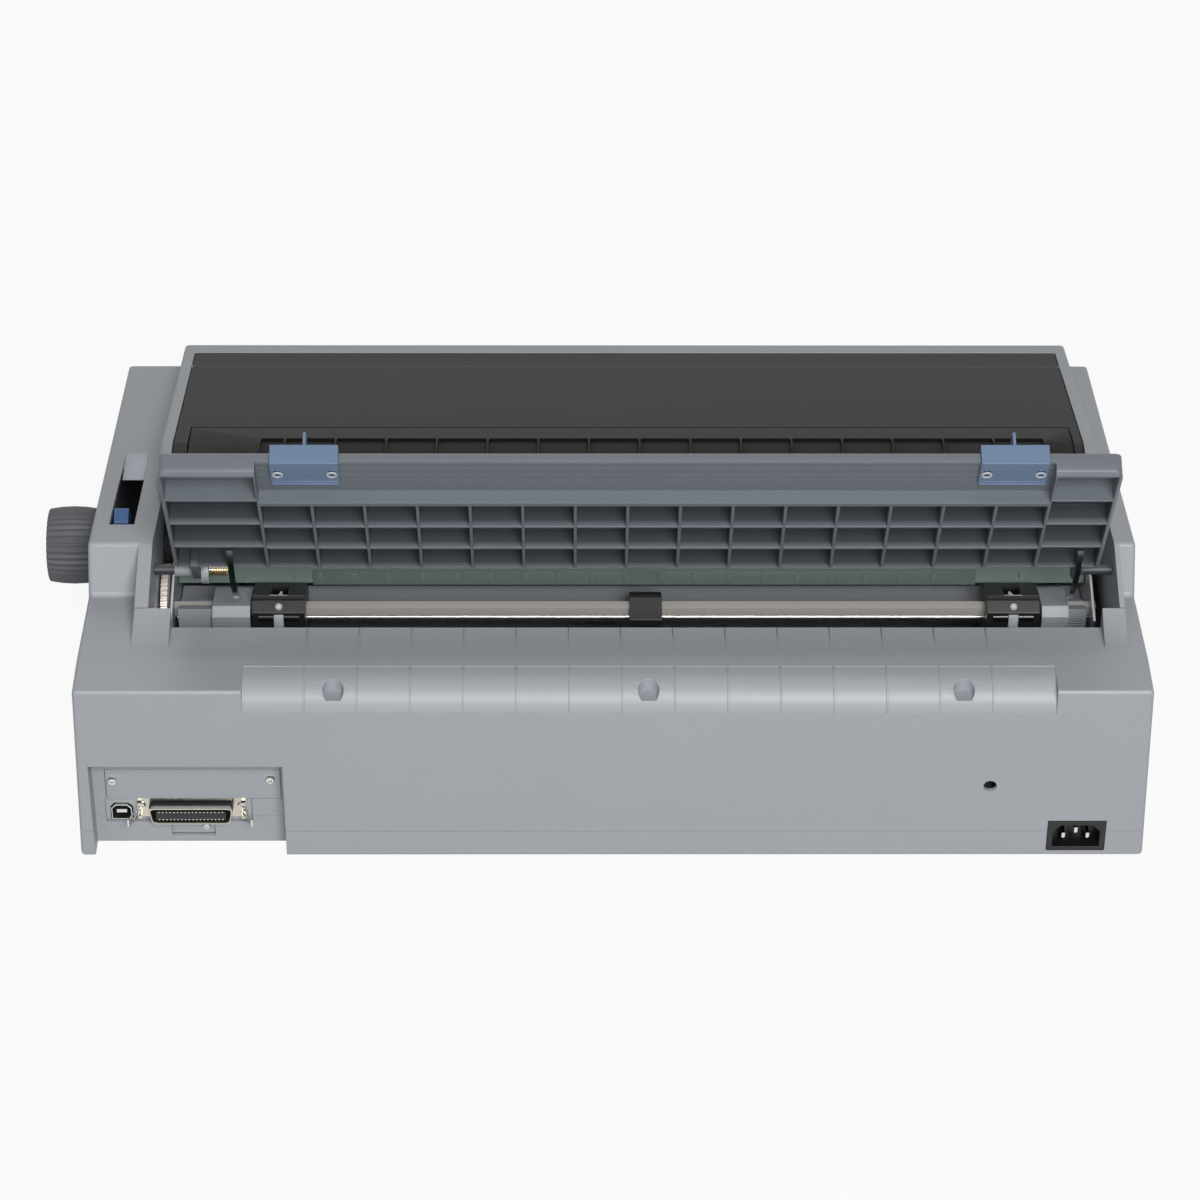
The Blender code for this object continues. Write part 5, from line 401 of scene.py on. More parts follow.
looks = {
    caseGrey: ("lower_case", "upper_case", "front_cover", "printer_cover", "slot_cover_plate"),
    guideGrey: ("sheet_guide",),
    panelGrey: ("control_panel",),
    buttonGrey: ("button_1", "button_2", "button_3"),
    blockGrey: ("tractor_end_block_knob_side", "tractor_end_block_far_side"),
    trayGrey: ("lower_paper_plate",),
    knobGrey: ("platen_knob",),
    guideBlue: ("edge_guide_knob_side", "edge_guide_far_side"),
    leverBlue: ("release_lever", "tractor_lock_knob_side", "tractor_lock_far_side"),
    blackPlastic: ("tractor_body_knob_side", "tractor_body_far_side", "tractor_cover_knob_side",
                   "tractor_cover_far_side", "paper_support", "carriage", "carriage_motor",
                   "carriage_belt", "feed_motor", "power_switch_rocker", "ribbon_cartridge"),
    foamBlack: ("exit_foam_strip",),
    blackGloss: ("mains_inlet",),
    acetalWhite: ("feed_idler_gear", "tractor_sprocket_knob_side", "tractor_sprocket_far_side",
                  "ribbon_knob"),
    rubberBlack: ("platen_roller", "foot_rear_knob_side", "foot_rear_far_side",
                  "foot_front_knob_side", "foot_front_far_side"),
    boardGreen: ("main_board", "power_supply_board"),
    zincSteel: ("side_frame_knob_side", "side_frame_far_side", "carriage_front_rail"),
    bracketPaint: ("connector_bracket",),
    groundSteel: ("tractor_support_shaft", "carriage_shaft"),
    nickelBar: ("tractor_drive_shaft",),
    nickelShell: ("parallel_socket",),
    brightPlate: ("usb_socket", "bail_knob_side", "bail_far_side"),
    castAluminium: ("print_head",),
    brassTurned: ("feed_motor_pinion", "carriage_pulley"),
    smokeClear: ("cover_window", "exit_flap"),
    greenClear: ("rear_paper_plate",),
}


def paintCellShade(look, face, setup):
    # painted shade: the base colour of the cells behind the guide's face is darkened with their depth,
    # standing in for the shade of their ribs
    tree = look.node_tree
    shader = tree.nodes["Principled BSDF"]
    place = tree.nodes.new("ShaderNodeTexCoord").outputs["Object"]
    inward = tree.nodes.new("ShaderNodeVectorMath")
    inward.operation = "DOT_PRODUCT"
    inward.inputs[1].default_value = setup["inward"]
    tree.links.new(place, inward.inputs[0])
    depth = mathNode(tree, "SUBTRACT", inward.outputs["Value"], face)
    share = tree.nodes.new("ShaderNodeMapRange")
    tree.links.new(depth, share.inputs["Value"])
    share.inputs["From Min"].default_value = setup["from"]
    share.inputs["From Max"].default_value = setup["to"]
    share.inputs["To Min"].default_value = 1.0
    share.inputs["To Max"].default_value = setup["least"]
    upward = tree.nodes.new("ShaderNodeVectorMath")
    upward.operation = "DOT_PRODUCT"
    upward.inputs[1].default_value = setup["upward"]
    tree.links.new(place, upward.inputs[0])
    below = mathNode(tree, "LESS_THAN", upward.outputs["Value"], setup["gridTop"])
    paintedShade = mathNode(tree, "MULTIPLY", below, mathNode(tree, "SUBTRACT", 1.0, share.outputs["Result"]))
    colour = shader.inputs["Base Color"].links[0].from_socket
    shaded = scaledColour(tree, colour, mathNode(tree, "SUBTRACT", 1.0, paintedShade))
    tree.links.new(shaded, shader.inputs["Base Color"])


leanSetup = {"pivot": (97.0, 133.0), "along": (0.46947, 0.88295), "out": (-0.88295, 0.46947), "drop": 9.5}
cellShadeSetup = {
    "inward": (0, *leanSetup["out"]),
    "upward": (0, *leanSetup["along"]),
    "gridHeight": 101.5 * mm,
    "from": 0.6 * mm,
    "to": 4.5 * mm,
    "least": 0.3,
}


def leanLevel(direction):
    return sum(part * place * mm for part, place in zip(leanSetup[direction], leanSetup["pivot"]))


cellShadeSetup["gridTop"] = leanLevel("along") + cellShadeSetup["gridHeight"]
guideFace = leanLevel("out") - leanSetup["drop"] * mm
# painted shade in the base colour of the guide's cells
paintCellShade(guideGrey, guideFace, cellShadeSetup)

for look, names in looks.items():
    for name in names:
        nodes[name].data.materials.clear()
        nodes[name].data.materials.append(look)
print("finishes on the packed nodes:", sum(len(names) for names in looks.values()))


# every moulded or pressed edge is rounded a little

edgeSizes = {
    "usual": 0.35,          # mm
    "facet": 0.8,           # degrees under which two faces are one
    "crease": 28.0,         # degrees over which an edge is rounded
    "sharp": 38.0,          # degrees over which shading stays sharp
    "weld": 0.01,           # mm
    "upper_case": 0.2, "lower_case": 0.3, "sheet_guide": 0.3, "printer_cover": 0.6, "front_cover": 0.6,
    "cover_window": 0.5, "exit_flap": 0.4, "edge_guide_knob_side": 0.6, "edge_guide_far_side": 0.6,
    "mains_inlet": 0.12, "parallel_socket": 0.12, "usb_socket": 0.2, "connector_bracket": 0.2,
    "feed_idler_gear": 0.12, "feed_motor_pinion": 0.08, "tractor_drive_shaft": 0.15, "platen_roller": 0.12,
    "print_head": 0.2, "carriage_pulley": 0.15, "carriage_belt": 0.1, "bail_knob_side": 0.0,
    "bail_far_side": 0.0,
    "rear_paper_plate": 0.2, "tractor_sprocket_knob_side": 0.15, "tractor_sprocket_far_side": 0.15,
    "button_1": 0.5, "button_2": 0.5, "button_3": 0.5, "main_board": 0.15, "power_supply_board": 0.15,
}


def buildSmoothing():
    # smooth shading, kept sharp where faces meet at more than the angle
    group = bpy.data.node_groups.new("smoothByAngle", "GeometryNodeTree")
    group.interface.new_socket(name="Geometry", in_out="INPUT", socket_type="NodeSocketGeometry")
    group.interface.new_socket(name="Geometry", in_out="OUTPUT", socket_type="NodeSocketGeometry")
    given = group.nodes.new("NodeGroupInput")
    out = group.nodes.new("NodeGroupOutput")
    faces = group.nodes.new("GeometryNodeSetShadeSmooth")
    edges = group.nodes.new("GeometryNodeSetShadeSmooth")
    edges.domain = "EDGE"
    edges.inputs["Shade Smooth"].default_value = False
    angle = group.nodes.new("GeometryNodeInputMeshEdgeAngle")
    over = group.nodes.new("FunctionNodeCompare")
    over.operation = "GREATER_THAN"
    over.inputs[1].default_value = math.radians(edgeSizes["sharp"])
    group.links.new(given.outputs[0], faces.inputs["Geometry"])
    group.links.new(faces.outputs[0], edges.inputs["Geometry"])
    group.links.new(angle.outputs[0], over.inputs[0])
    group.links.new(over.outputs[0], edges.inputs["Selection"])
    group.links.new(edges.outputs[0], out.inputs[0])
    return group


smoothByAngle = buildSmoothing()


def softenNode(name):
    node = nodes[name]
    weld = node.modifiers.new("weld", "WELD")
    weld.merge_threshold = edgeSizes["weld"] * mm
    planes = node.modifiers.new("planes", "DECIMATE")
    planes.decimate_type = "DISSOLVE"
    planes.angle_limit = math.radians(edgeSizes["facet"])
    width = edgeSizes.get(name, edgeSizes["usual"]) * mm
    if width:
        edge = node.modifiers.new("edge", "BEVEL")
        edge.width = width
        edge.segments = 2
        edge.limit_method = "ANGLE"
        edge.angle_limit = math.radians(edgeSizes["crease"])
        edge.use_clamp_overlap = False
    smooth = node.modifiers.new("smooth", "NODES")
    smooth.node_group = smoothByAngle
    flat = node.modifiers.new("flat", "WEIGHTED_NORMAL")
    flat.keep_sharp = True


for name in nodes:
    softenNode(name)
print("edges rounded on", len(nodes), "nodes")


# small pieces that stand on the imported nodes

roundSetup = {"segments": 2, "profile": 0.5, "crease": 30, "weld": 0.001}


def addBox(shape, low, high, edge=0.0):
    made = bmesh.ops.create_cube(shape, size=1.0)["verts"]
    for vert in made:
        vert.co = Vector([(low[i] + (high[i] - low[i]) * (vert.co[i] + 0.5)) * mm for i in range(3)])
    if edge:
        sides = list({side for vert in made for side in vert.link_edges})
        bmesh.ops.bevel(
            shape, geom=sides, offset=edge * mm, offset_type="OFFSET", segments=roundSetup["segments"],
            profile=roundSetup["profile"], affect="EDGES", material=-1)


def addRod(shape, start, end, radius, sides=24):
    start, end = Vector(start) * mm, Vector(end) * mm
    along = end - start
    turned = Vector((0, 0, 1)).rotation_difference(along).to_matrix().to_4x4()
    place = Matrix.Translation((start + end) / 2) @ turned
    bmesh.ops.create_cone(
        shape, cap_ends=True, cap_tris=False, segments=sides, radius1=radius * mm, radius2=radius * mm,
        depth=along.length, matrix=place)


def addSpun(shape, profile, centre, axis, sides=36):
    # profile is (radius, height along the axis) in mm
    turned = Vector((0, 0, 1)).rotation_difference(Vector(axis)).to_matrix()
    middle = Vector(centre) * mm
    points = [shape.verts.new(middle + turned @ Vector((r * mm, 0, h * mm))) for r, h in profile]
    lines = [shape.edges.new(pair) for pair in zip(points, points[1:])]
    bmesh.ops.spin(
        shape, geom=points + lines, cent=middle, axis=turned @ Vector((0, 0, 1)), dvec=(0, 0, 0),
        angle=math.tau, steps=sides, use_merge=True)
    bmesh.ops.remove_doubles(shape, verts=shape.verts[:], dist=roundSetup["weld"] * mm)


def joinRings(shape, rings):
    for first, second in zip(rings, rings[1:]):
        for i in range(len(first)):
            j = (i + 1) % len(first)
            shape.faces.new((first[i], first[j], second[j], second[i]))


def closeEnds(shape, rings):
    shape.faces.new(rings[0])
    shape.faces.new(list(reversed(rings[-1])))


def addSlab(shape, outline, axis, low, high):
    # a prism along X or Y: the outline's two numbers are the other two axes in order
    rings = []
    for level in (low, high):
        spots = [(level, a, b) if axis == "X" else (a, level, b) for a, b in outline]
        rings.append([shape.verts.new(Vector(spot) * mm) for spot in spots])
    closeEnds(shape, rings)
    joinRings(shape, rings[::-1])


def keep(name, shape, look, body, edge=0.0):
    bmesh.ops.recalc_face_normals(shape, faces=shape.faces[:])
    mesh = bpy.data.meshes.new(name)
    shape.to_mesh(mesh)
    shape.free()
    mesh.materials.append(look)
    piece = bpy.data.objects.new(name, mesh)
    scene.collection.objects.link(piece)
    if edge:
        rounding = piece.modifiers.new("edge", "BEVEL")
        rounding.width = edge * mm
        rounding.segments = roundSetup["segments"]
        rounding.limit_method = "ANGLE"
        rounding.angle_limit = math.radians(roundSetup["crease"])
    smooth = piece.modifiers.new("smooth", "NODES")
    smooth.node_group = smoothByAngle
    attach(piece, body)


# cross-headed screws on the connector panel

screwSetup = {
    # x, y, z, radius, turn
    "plateScrews": ((274.7, 187.0, 48.0, 2.9, 12), (183.6, 187.0, 49.0, 2.9, 38)),
    "tabScrew": ((222.2, 183.9, 11.9, 2.4, 25),),
    "socketScrews": ((258.9, 185.1, 28.2, 2.3, 8), (201.1, 185.1, 28.6, 2.3, 50)),
    # shares of the radius; crown and shoulder are a reach and a drop below the top
    "headHeight": 0.75,
    "recessReach": 0.56,
    "recessWidth": 0.17,
    "recessDepth": 0.45,
    "crown": (0.78, 0.05),
    "shoulder": (0.96, 0.28),
    "rimHeight": 0.15,
    # share of the recess's own size at its floor
    "recessTaper": 0.8,
}


def addScrew(shape, x, y, z, radius, turn):
    setup = screwSetup
    reach, wide = radius * setup["recessReach"], radius * setup["recessWidth"] / 2
    top = y + radius * setup["headHeight"]
    arms = []
    for quarter in range(4):
        swing = math.radians(turn + 90 * quarter)
        ahead = Vector((math.cos(swing), math.sin(swing)))
        aside = Vector((-math.sin(swing), math.cos(swing)))
        arms += [ahead * reach - aside * wide, ahead * reach + aside * wide, ahead * wide + aside * wide]
    facing = [arm.normalized() * radius for arm in arms]
    (crownReach, crownDrop), (shoulderReach, shoulderDrop) = setup["crown"], setup["shoulder"]
    levels = (
        ([arm * setup["recessTaper"] for arm in arms], top - radius * setup["recessDepth"]),
        (arms, top),
        ([point * crownReach for point in facing], top - radius * crownDrop),
        ([point * shoulderReach for point in facing], top - radius * shoulderDrop),
        (facing, y + radius * setup["rimHeight"]),
        (facing, y),
    )
    rings = []
    for points, level in levels:
        spots = [Vector((x + point.x, level, z + point.y)) * mm for point in points]
        rings.append([shape.verts.new(spot) for spot in spots])
    joinRings(shape, rings)
    closeEnds(shape, rings)


for label in ("plateScrews", "tabScrew", "socketScrews"):
    shape = bmesh.new()
    for numbers in screwSetup[label]:
        addScrew(shape, *numbers)
    keep(label, shape, brightPlate, "case")
print("screws made")


# inside of the parallel and serial sockets

socketSetup = {
    "centre": (230.0, 26.4), "wide": 49.0, "high": 11.6, "wall": 0.75,
    "sleeveOut": 0.28, "sleeveFrom": 185.2, "sleeveTo": 191.2,
    "mouthBack": 186.35, "mouthLip": 193.2, "slack": 0.02, "lining": 0.35,
    "floorIn": 0.1, "floorThick": 0.3, "tongueEdge": 0.25,
    "tongue": (40.6, 5.7, 193.3),
    "contacts": 18, "pitch": 2.159, "contactWide": 1.0, "contactFrom": 187.0, "contactTo": 193.42,
    "contactProud": 0.12, "contactSunk": 0.5, "contactEdge": 0.1,
    # the slant and the rounding are shares of the height
    "slant": 6, "cornerReach": 0.24, "cornerSteps": 4,
}


def deeOutline(wide, high, grow=0.0):
    setup = socketSetup
    x, z = setup["centre"]
    half, rise, slant = wide / 2 + grow, high / 2 + grow, high / setup["slant"]
    corners = [(x - half + slant, z - rise), (x + half - slant, z - rise),
               (x + half, z + rise), (x - half, z + rise)]
    reach = high * setup["cornerReach"]
    points = []
    for i, corner in enumerate(corners):
        here = Vector(corner)
        back = here + (Vector(corners[i - 1]) - here).normalized() * reach
        on = here + (Vector(corners[(i + 1) % 4]) - here).normalized() * reach
        for step in range(setup["cornerSteps"] + 1):
            t = step / setup["cornerSteps"]
            points.append(tuple(back * (1 - t) ** 2 + here * 2 * t * (1 - t) + on * t ** 2))
    return points


def addTube(shape, outer, inner, low, high):
    rings = [[shape.verts.new(Vector((a, level, b)) * mm) for a, b in outline]
             for outline, level in ((outer, low), (outer, high), (inner, high), (inner, low))]
    joinRings(shape, rings + rings[:1])


def addSocketInsides():
    setup = socketSetup
    wide, high, wall = setup["wide"], setup["high"], setup["wall"]
    mouth, slack = setup["mouthBack"], setup["slack"]
    shape = bmesh.new()
    sleeve = deeOutline(wide, high, setup["sleeveOut"]), deeOutline(wide, high, slack)
    addTube(shape, *sleeve, setup["sleeveFrom"], setup["sleeveTo"])
    lining = deeOutline(wide, high, slack - wall), deeOutline(wide, high, -wall - setup["lining"])
    addTube(shape, *lining, mouth, setup["mouthLip"])
    floor = deeOutline(wide, high, -wall - setup["floorIn"])
    addSlab(shape, floor, "Y", mouth, mouth + setup["floorThick"])
    x, z = setup["centre"]
    tongueWide, tongueHigh, tongueTo = setup["tongue"]
    addBox(shape, (x - tongueWide / 2, mouth, z - tongueHigh / 2),
           (x + tongueWide / 2, tongueTo, z + tongueHigh / 2), setup["tongueEdge"])
    keep("parallelSocketBody", shape, blackPlastic, "case")
    shape = bmesh.new()
    half = setup["contactWide"] / 2
    for i in range(setup["contacts"]):
        middle = x + (i - (setup["contacts"] - 1) / 2) * setup["pitch"]
        for side in (-1, 1):
            level = z + side * tongueHigh / 2
            low, top = sorted((level + side * setup["contactProud"], level - side * setup["contactSunk"]))
            addBox(shape, (middle - half, setup["contactFrom"], low),
                   (middle + half, setup["contactTo"], top), setup["contactEdge"])
    keep("parallelContacts", shape, brightPlate, "case")


addSocketInsides()

serialSetup = {
    "middle": (271.0, 22.8), "half": (5.35, 4.75), "back": 170.2, "front": 184.9, "skin": 0.25,
    "tongue": (3.2, 1.5, 183.6), "tongueEdge": 0.3,
}


def addSerialInside():
    setup = serialSetup
    x, z = setup["middle"]
    wide, high = setup["half"]
    skin, back, front = setup["skin"], setup["back"], setup["front"]
    shape = bmesh.new()
    addBox(shape, (x - wide, back, z - high), (x + wide, back + skin, z + high))
    for low, top in (((-wide, -high), (wide, -high + skin)), ((-wide, high - skin), (wide, high)),
                     ((-wide, -high), (-wide + skin, high)), ((wide - skin, -high), (wide, high))):
        addBox(shape, (x + low[0], back, z + low[1]), (x + top[0], front, z + top[1]))
    half, rise, reach = setup["tongue"]
    addBox(shape, (x - half, back, z - rise), (x + half, reach, z + rise), setup["tongueEdge"])
    keep("serialSocketBody", shape, blackPlastic, "case")


addSerialInside()

inletSetup = {
    "x": -282.8, "pins": ((-7.0, 15.55), (0.0, 19.55), (7.0, 15.55)), "half": (1.12, 2.12),
    "from": 185.6, "to": 198.3, "edge": 0.6,
}


def addInletPins():
    setup = inletSetup
    shape = bmesh.new()
    wide, high = setup["half"]
    for aside, z in setup["pins"]:
        x = setup["x"] + aside
        addBox(shape, (x - wide, setup["from"], z - high), (x + wide, setup["to"], z + high), setup["edge"])
    keep("inletPins", shape, brightPlate, "case")


addInletPins()
print("sockets lined")


# fittings of the sheet guide, in its own leaning frame

guideSetup = {
    "ridges": ((134.4, 0.8), (128.6, 0.5), (121.0, 0.5)), "ridgeEnds": (-257.5, 184.0),
    "channel": 8.0, "ridgeProud": 0.32, "ridgeSunk": 0.3,
    "saddles": {"edge_knob_side": 157.5, "edge_far_side": -235.6}, "saddleHalf": 19.0, "saddleFace": 5.7,
    # a lip's two places along the guide and how far it stands out
    "lipInset": 0.8, "lips": ((114.4, 115.6, 0.7), (117.4, 117.9, 0.3)), "sunk": 0.2,
    "ticks": 11, "tickFirst": 9.0, "tickPitch": 1.8, "tickHalf": 0.3, "tickFrom": 125.6,
    "tickTo": (128.6, 127.6), "tickProud": 0.25, "marksEdge": 0.12,
    "eyeletAside": 15.0, "eyeletAlong": 125.1,
    "eyelet": ((2.02, -0.2), (2.02, 0.45), (2.45, 0.6), (2.95, 0.45), (3.1, -0.2), (2.02, -0.2)),
    "stays": (206.0, -283.0), "stayHalf": 1.7, "stayThick": 0.45,
    "stayOnGuide": ((38, 3.0), (28, 0.6), (18, -1.2)),
    "stayBelow": ((107.5, 128.5), (99.0, 115.5), (91.0, 107.5), (87.0, 105.5)),
}


def guidePoint(along, out):
    y, z = leanSetup["pivot"]
    (ay, az), (oy, oz) = leanSetup["along"], leanSetup["out"]
    drop = out - leanSetup["drop"]
    return y + ay * along + oy * drop, z + az * along + oz * drop


def addGuideBar(shape, low, high, alongs, outs):
    (start, end), (front, back) = alongs, outs
    corners = [guidePoint(start, front), guidePoint(end, front),
               guidePoint(end, back), guidePoint(start, back)]
    addSlab(shape, corners, "X", low, high)


def addRidges():
    setup = guideSetup
    low, high = setup["ridgeEnds"]
    outs = (setup["channel"] - setup["ridgeProud"], setup["channel"] + setup["ridgeSunk"])
    shape = bmesh.new()
    for along, wide in setup["ridges"]:
        addGuideBar(shape, low, high, (along - wide / 2, along + wide / 2), outs)
    keep("railRidges", shape, guideGrey, "guide")


def addSaddleMarks(body, middle):
    setup = guideSetup
    face, half = setup["saddleFace"], setup["saddleHalf"] - setup["lipInset"]
    back = face + setup["sunk"]
    shape = bmesh.new()
    for start, end, proud in setup["lips"]:
        addGuideBar(shape, middle - half, middle + half, (start, end), (face - proud, back))
    for tick in range(setup["ticks"]):
        x = middle - setup["tickFirst"] + tick * setup["tickPitch"]
        alongs = (setup["tickFrom"], setup["tickTo"][tick % 2])
        outs = (face - setup["tickProud"], back)
        addGuideBar(shape, x - setup["tickHalf"], x + setup["tickHalf"], alongs, outs)
    keep(body + "_marks", shape, guideBlue, body, setup["marksEdge"])
    shape = bmesh.new()
    y, z = guidePoint(setup["eyeletAlong"], face)
    outward = (0, -leanSetup["out"][0], -leanSetup["out"][1])
    for aside in (-1, 1):
        addSpun(shape, setup["eyelet"], (middle + aside * setup["eyeletAside"], y, z), outward)
    keep(body + "_eyelets", shape, eyeletPale, body)


def runAt(points, i):
    return (points[min(i + 1, len(points) - 1)] - points[max(i - 1, 0)]).normalized()


def addStays():
    setup = guideSetup
    half = setup["stayHalf"]
    corners = ((-half, -1), (half, -1), (half, 1), (-half, 1))
    path = [guidePoint(along, out) for along, out in setup["stayOnGuide"]]
    points = [Vector(place) for place in (*path, *setup["stayBelow"])]
    shape = bmesh.new()
    for x in setup["stays"]:
        rings = []
        for i, point in enumerate(points):
            run = runAt(points, i)
            side = Vector((-run.y, run.x)) * setup["stayThick"]
            rings.append([shape.verts.new(Vector((x + wide, *(point + side * way))) * mm)
                          for wide, way in corners])
        joinRings(shape, rings)
        closeEnds(shape, rings)
    keep("guideStays", shape, brightPlate, "guide")


addRidges()
for body, middle in guideSetup["saddles"].items():
    addSaddleMarks(body, middle)
addStays()

hubSetup = {
    # two ends and a radius, and for the coil the wire's radius and the turns
    "stub": (225.0, 240.8, 4.0), "disc": (220.6, 225.0, 8.2), "shaft": (207.0, 220.8, 1.9),
    "coil": (210.0, 220.0, 3.3, 0.42, 7.0), "coilSteps": 16, "sides": 32, "edge": 0.3,
    # any direction that the wire never runs in
    "wireAcross": (0.31, 0.83, 0.46),
}


def addWire(shape, points, radius, sides=8):
    rings = []
    for i, point in enumerate(points):
        run = runAt(points, i)
        across = run.cross(Vector(hubSetup["wireAcross"])).normalized()
        upward = run.cross(across)
        ring = []
        for k in range(sides):
            swing = math.tau * k / sides
            aside = across * math.cos(swing) + upward * math.sin(swing)
            ring.append(shape.verts.new((point + aside * radius) * mm))
        rings.append(ring)
    joinRings(shape, rings)
    closeEnds(shape, rings)


def addHub():
    y, z = leanSetup["pivot"]
    shape = bmesh.new()
    for label in ("stub", "disc"):
        start, end, radius = hubSetup[label]
        addRod(shape, (start, y, z), (end, y, z), radius, hubSetup["sides"])
    keep("guideHub", shape, blockGrey, "guide", hubSetup["edge"])
    shape = bmesh.new()
    start, end, radius = hubSetup["shaft"]
    addRod(shape, (start, y, z), (end, y, z), radius)
    keep("guideHubPin", shape, zincSteel, "guide")
    start, end, radius, wire, turns = hubSetup["coil"]
    count = turns * hubSetup["coilSteps"]
    points = []
    for step in range(int(count) + 1):
        swing = math.tau * step / hubSetup["coilSteps"]
        x = start + (end - start) * step / count
        points.append(Vector((x, y + radius * math.cos(swing), z + radius * math.sin(swing))))
    shape = bmesh.new()
    addWire(shape, points, wire)
    keep("guideSpring", shape, brassTurned, "guide")


addHub()
print("guide fitted")


# tractor fittings

tractorSetup = {
    "sides": (("knob_side", 182.5), ("far_side", -251.5)),
    "rear": 90.5, "postHalf": 2.9, "post": (84.0, 95.6),
    "postSunk": 0.3, "postProud": 1.1, "postEdge": 0.4,
    "head": (87.6, 99.2, 2.3), "headSegments": (24, 14),
    "collar": (88.7, 92.6, 2.9), "collarReach": (3.2, 12.0), "collarRibs": 9, "collarSides": 20,
    # shares of a rib's pitch, and of the radius
    "ribShare": 0.6, "grooveShare": 0.62, "grooveRadius": 0.82,
    "line": 5.2, "lidSlope": (0.9451, 0.32678), "lidCorner": (83.5, 104.35),
    "lidHighlight": ((-1.3, -0.3), (-0.1, -0.3), (-0.1, 0.12), (-1.3, 0.12)),
}


def collarProfile(radius):
    setup = tractorSetup
    near, far = setup["collarReach"]
    width = (far - near) / setup["collarRibs"]
    groove = radius * setup["grooveRadius"]
    profile = [(0, near)]
    for i in range(setup["collarRibs"]):
        start = near + (far - near) * i / setup["collarRibs"]
        profile += [(radius, start), (radius, start + width * setup["ribShare"]),
                    (groove, start + width * setup["grooveShare"]), (groove, start + width)]
    return profile + [(0, far)]


def addTractorFittings(side, middle):
    setup = tractorSetup
    low, high = setup["post"]
    shape = bmesh.new()
    addBox(shape, (middle - setup["postHalf"], setup["rear"] - setup["postSunk"], low),
           (middle + setup["postHalf"], setup["rear"] + setup["postProud"], high), setup["postEdge"])
    headY, headZ, radius = setup["head"]
    around, upright = setup["headSegments"]
    dome = bmesh.ops.create_uvsphere(shape, u_segments=around, v_segments=upright, radius=radius * mm)
    bmesh.ops.translate(shape, verts=dome["verts"], vec=Vector((middle, headY, headZ)) * mm)
    keep("tractorClamp_" + side, shape, eyeletPale, "tractor_" + side)
    collarY, collarZ, radius = setup["collar"]
    profile = collarProfile(radius)
    shape = bmesh.new()
    for way in (-1, 1):
        addSpun(shape, profile, (middle, collarY, collarZ), (way, 0, 0), setup["collarSides"])
    keep("tractorCollars_" + side, shape, blackGloss, "tractor_" + side)
    # painted highlight: a thin white strip along the lid's upper edge stands in for the light that this
    # edge catches
    slope, corner = Vector(setup["lidSlope"]), Vector(setup["lidCorner"])
    normal = Vector((-slope.y, slope.x))
    outline = [tuple(corner + slope * along + normal * up) for along, up in setup["lidHighlight"]]
    shape = bmesh.new()
    addSlab(shape, outline, "X", middle - setup["line"], middle + setup["line"])
    keep("tractorLidHighlight_" + side, shape, acetalWhite, "tractor_lid_" + side)


for numbers in tractorSetup["sides"]:
    addTractorFittings(*numbers)

blockSetup = {
    "spans": ((200.2, 221.5), (-294.8, -269.2)), "depths": (89.2, 89.75),
    "ribs": 8, "lowest": 80.6, "pitch": 1.7, "half": 0.35, "edge": 0.12,
}


def addBlockRibs():
    setup = blockSetup
    back, front = setup["depths"]
    half = setup["half"]
    shape = bmesh.new()
    for low, high in setup["spans"]:
        for rib in range(setup["ribs"]):
            z = setup["lowest"] + rib * setup["pitch"]
            addBox(shape, (low, back, z - half), (high, front, z + half), setup["edge"])
    keep("endBlockRibs", shape, blockGrey, "case")


addBlockRibs()

plateSetup = {
    "face": 52.6,
    "strip": {"ends": (-232.0, 164.0), "depths": (-0.2, 0.5), "heights": (90.4, 101.4), "edge": 0.15},
    "slots": {"ends": (-241.0, 175.0), "pitch": 24.8, "half": 5.2,
              "depths": (-0.3, 0.12), "heights": (106.0, 108.4), "edge": 0.0},
    "bumps": {"ends": (-226.0, 160.0), "pitch": 20.4, "half": 2.0,
              "depths": (0.3, 1.2), "heights": (92.0, 99.4), "edge": 0.4},
}


def addOnPlate(shape, ends, setup):
    (back, front), (bottom, top) = setup["depths"], setup["heights"]
    face = plateSetup["face"]
    addBox(shape, (ends[0], face + back, bottom), (ends[1], face + front, top), setup["edge"])


def addPlateRow(shape, setup):
    low, high = setup["ends"]
    for i in range(int((high - low) / setup["pitch"]) + 1):
        x = high - i * setup["pitch"]
        addOnPlate(shape, (x - setup["half"], x + setup["half"]), setup)


def addPlateFittings():
    shape = bmesh.new()
    addPlateRow(shape, plateSetup["slots"])
    keep("plateSlots", shape, blackGloss, "case")
    shape = bmesh.new()
    addOnPlate(shape, plateSetup["strip"]["ends"], plateSetup["strip"])
    addPlateRow(shape, plateSetup["bumps"])
    keep("plateStrip", shape, greenPale, "case")


addPlateFittings()
print("tractors and plate fitted")


# shoulder: the lever slot's ramp, the lines between the bare pictogram places, and the lever's ribs

shoulderSetup = {
    "lines": (-15.0, 7.0, 28.5, 57.7, 76.0), "lineFrom": 281.6, "lineTo": 287.4, "lineWide": 0.4,
    "lineSunk": 0.3, "lineProud": 0.06, "rise": 0.1458, "level": 136.66,
    "ramp": (266.7, 280.1, -24.6, 3.6), "rampLevel": 132.433, "rampRise": -0.0217,
    "rampSunk": 0.1, "rampProud": 0.3, "rampEdge": 0.1,
}


def layOver(ends, level, rise, sunk, proud):
    (rear, low), (front, high) = ((y, level + rise * y) for y in ends)
    return [(rear, low - sunk), (front, high - sunk), (front, high + proud), (rear, low + proud)]


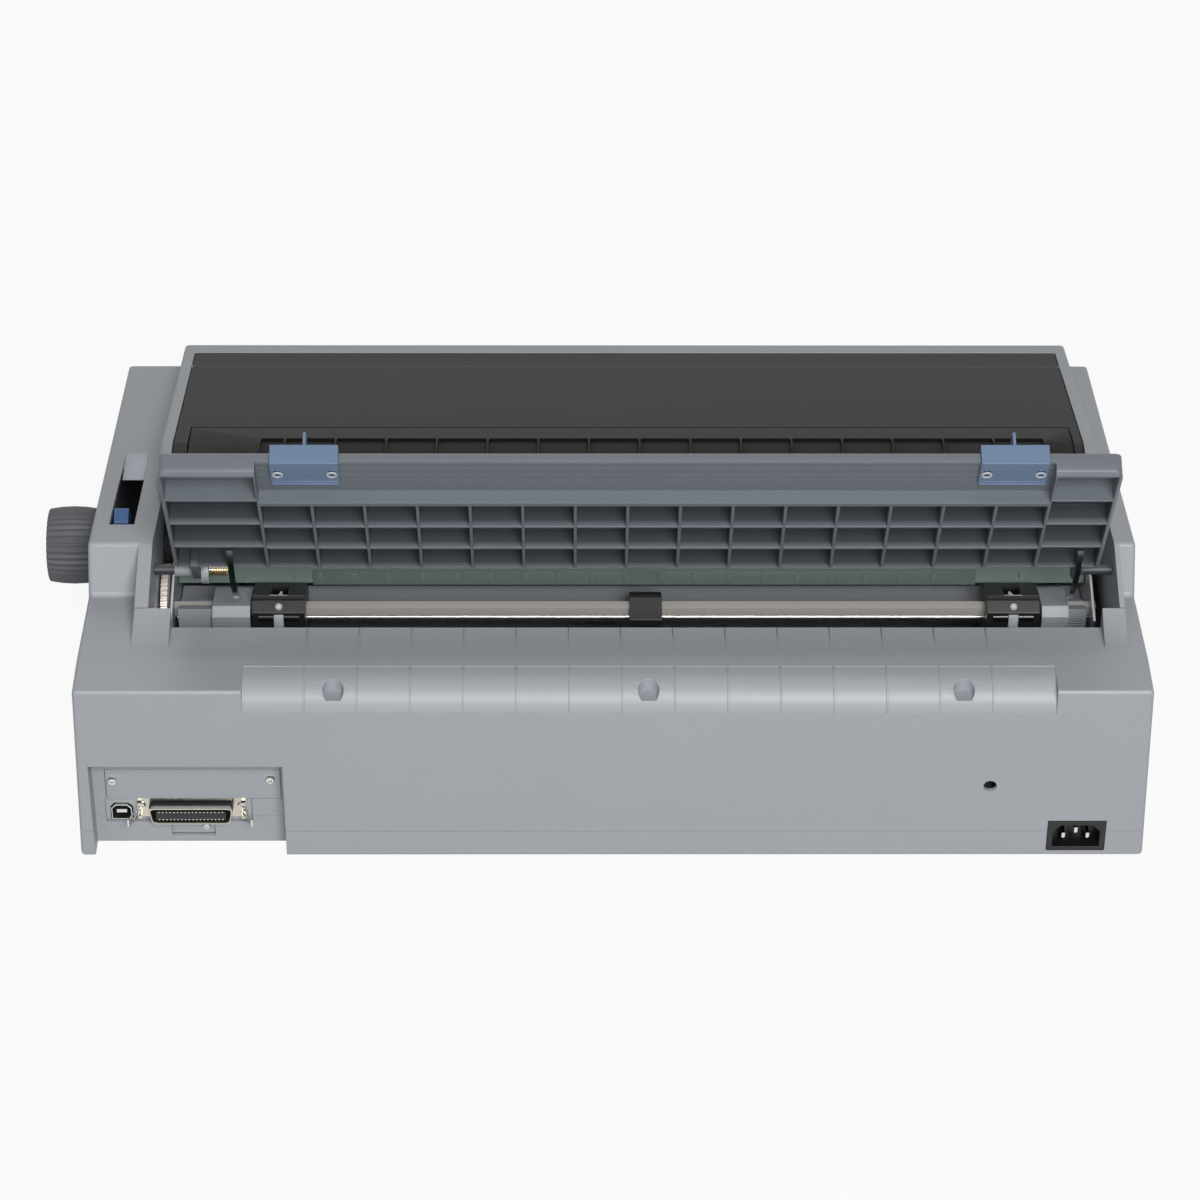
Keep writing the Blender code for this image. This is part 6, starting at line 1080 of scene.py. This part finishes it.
def addShoulder():
    setup = shoulderSetup
    shape = bmesh.new()
    for y in setup["lines"]:
        ends = (y - setup["lineWide"] / 2, y + setup["lineWide"] / 2)
        outline = layOver(ends, setup["level"], setup["rise"], setup["lineSunk"], setup["lineProud"])
        addSlab(shape, outline, "X", setup["lineFrom"], setup["lineTo"])
    # painted shade: the strips are a little darker than the case, standing in for the shade inside the
    # grooves between the pictogram places
    keep("shoulderLines", shape, trayGrey, "case")
    low, high, rear, front = setup["ramp"]
    level, rise = setup["rampLevel"], setup["rampRise"]
    outline = layOver((rear, front), level, rise, setup["rampSunk"], setup["rampProud"])
    shape = bmesh.new()
    addSlab(shape, outline, "X", low, high)
    keep("leverRamp", shape, rampPale, "case", setup["rampEdge"])


addShoulder()

leverSetup = {
    "pivot": (31.0, 104.0), "tip": (58.0, 144.0),
    "ribs": 7, "first": 3.0, "pitch": 1.25, "wide": 0.55, "outs": (5.2, 5.75), "reach": 4.1, "edge": 0.1,
}


def addLeverRibs():
    setup = leverSetup
    low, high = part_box("release_lever")
    middle = (low[0] + high[0]) / 2 / mm
    tip = Vector(setup["tip"])
    run = (tip - Vector(setup["pivot"])).normalized()
    side = Vector((run.y, -run.x))
    inner, outer = (side * out for out in setup["outs"])
    shape = bmesh.new()
    for rib in range(setup["ribs"]):
        start = tip - run * (setup["first"] + rib * setup["pitch"])
        end = start - run * setup["wide"]
        outline = [tuple(spot) for spot in (start + inner, end + inner, end + outer, start + outer)]
        addSlab(shape, outline, "X", middle - setup["reach"], middle + setup["reach"])
    keep("leverRibs", shape, leverBlue, "lever", setup["edge"])


addLeverRibs()

panelSetup = {
    "lights": (91.0, 125.0, 159.0), "y": -178.0, "z": 95.16, "facing": (0, -0.6, 0.8),
    "profile": ((0, 0.7), (0.8, 0.595), (1.3, 0.1), (1.3, -0.6), (0, -0.6)),
}


def addPanelLights():
    setup = panelSetup
    shape = bmesh.new()
    for x in setup["lights"]:
        addSpun(shape, setup["profile"], (x, setup["y"], setup["z"]), setup["facing"])
    keep("panelLights", shape, lampGreen, "case")


addPanelLights()
print("shoulder, lever and panel fitted")
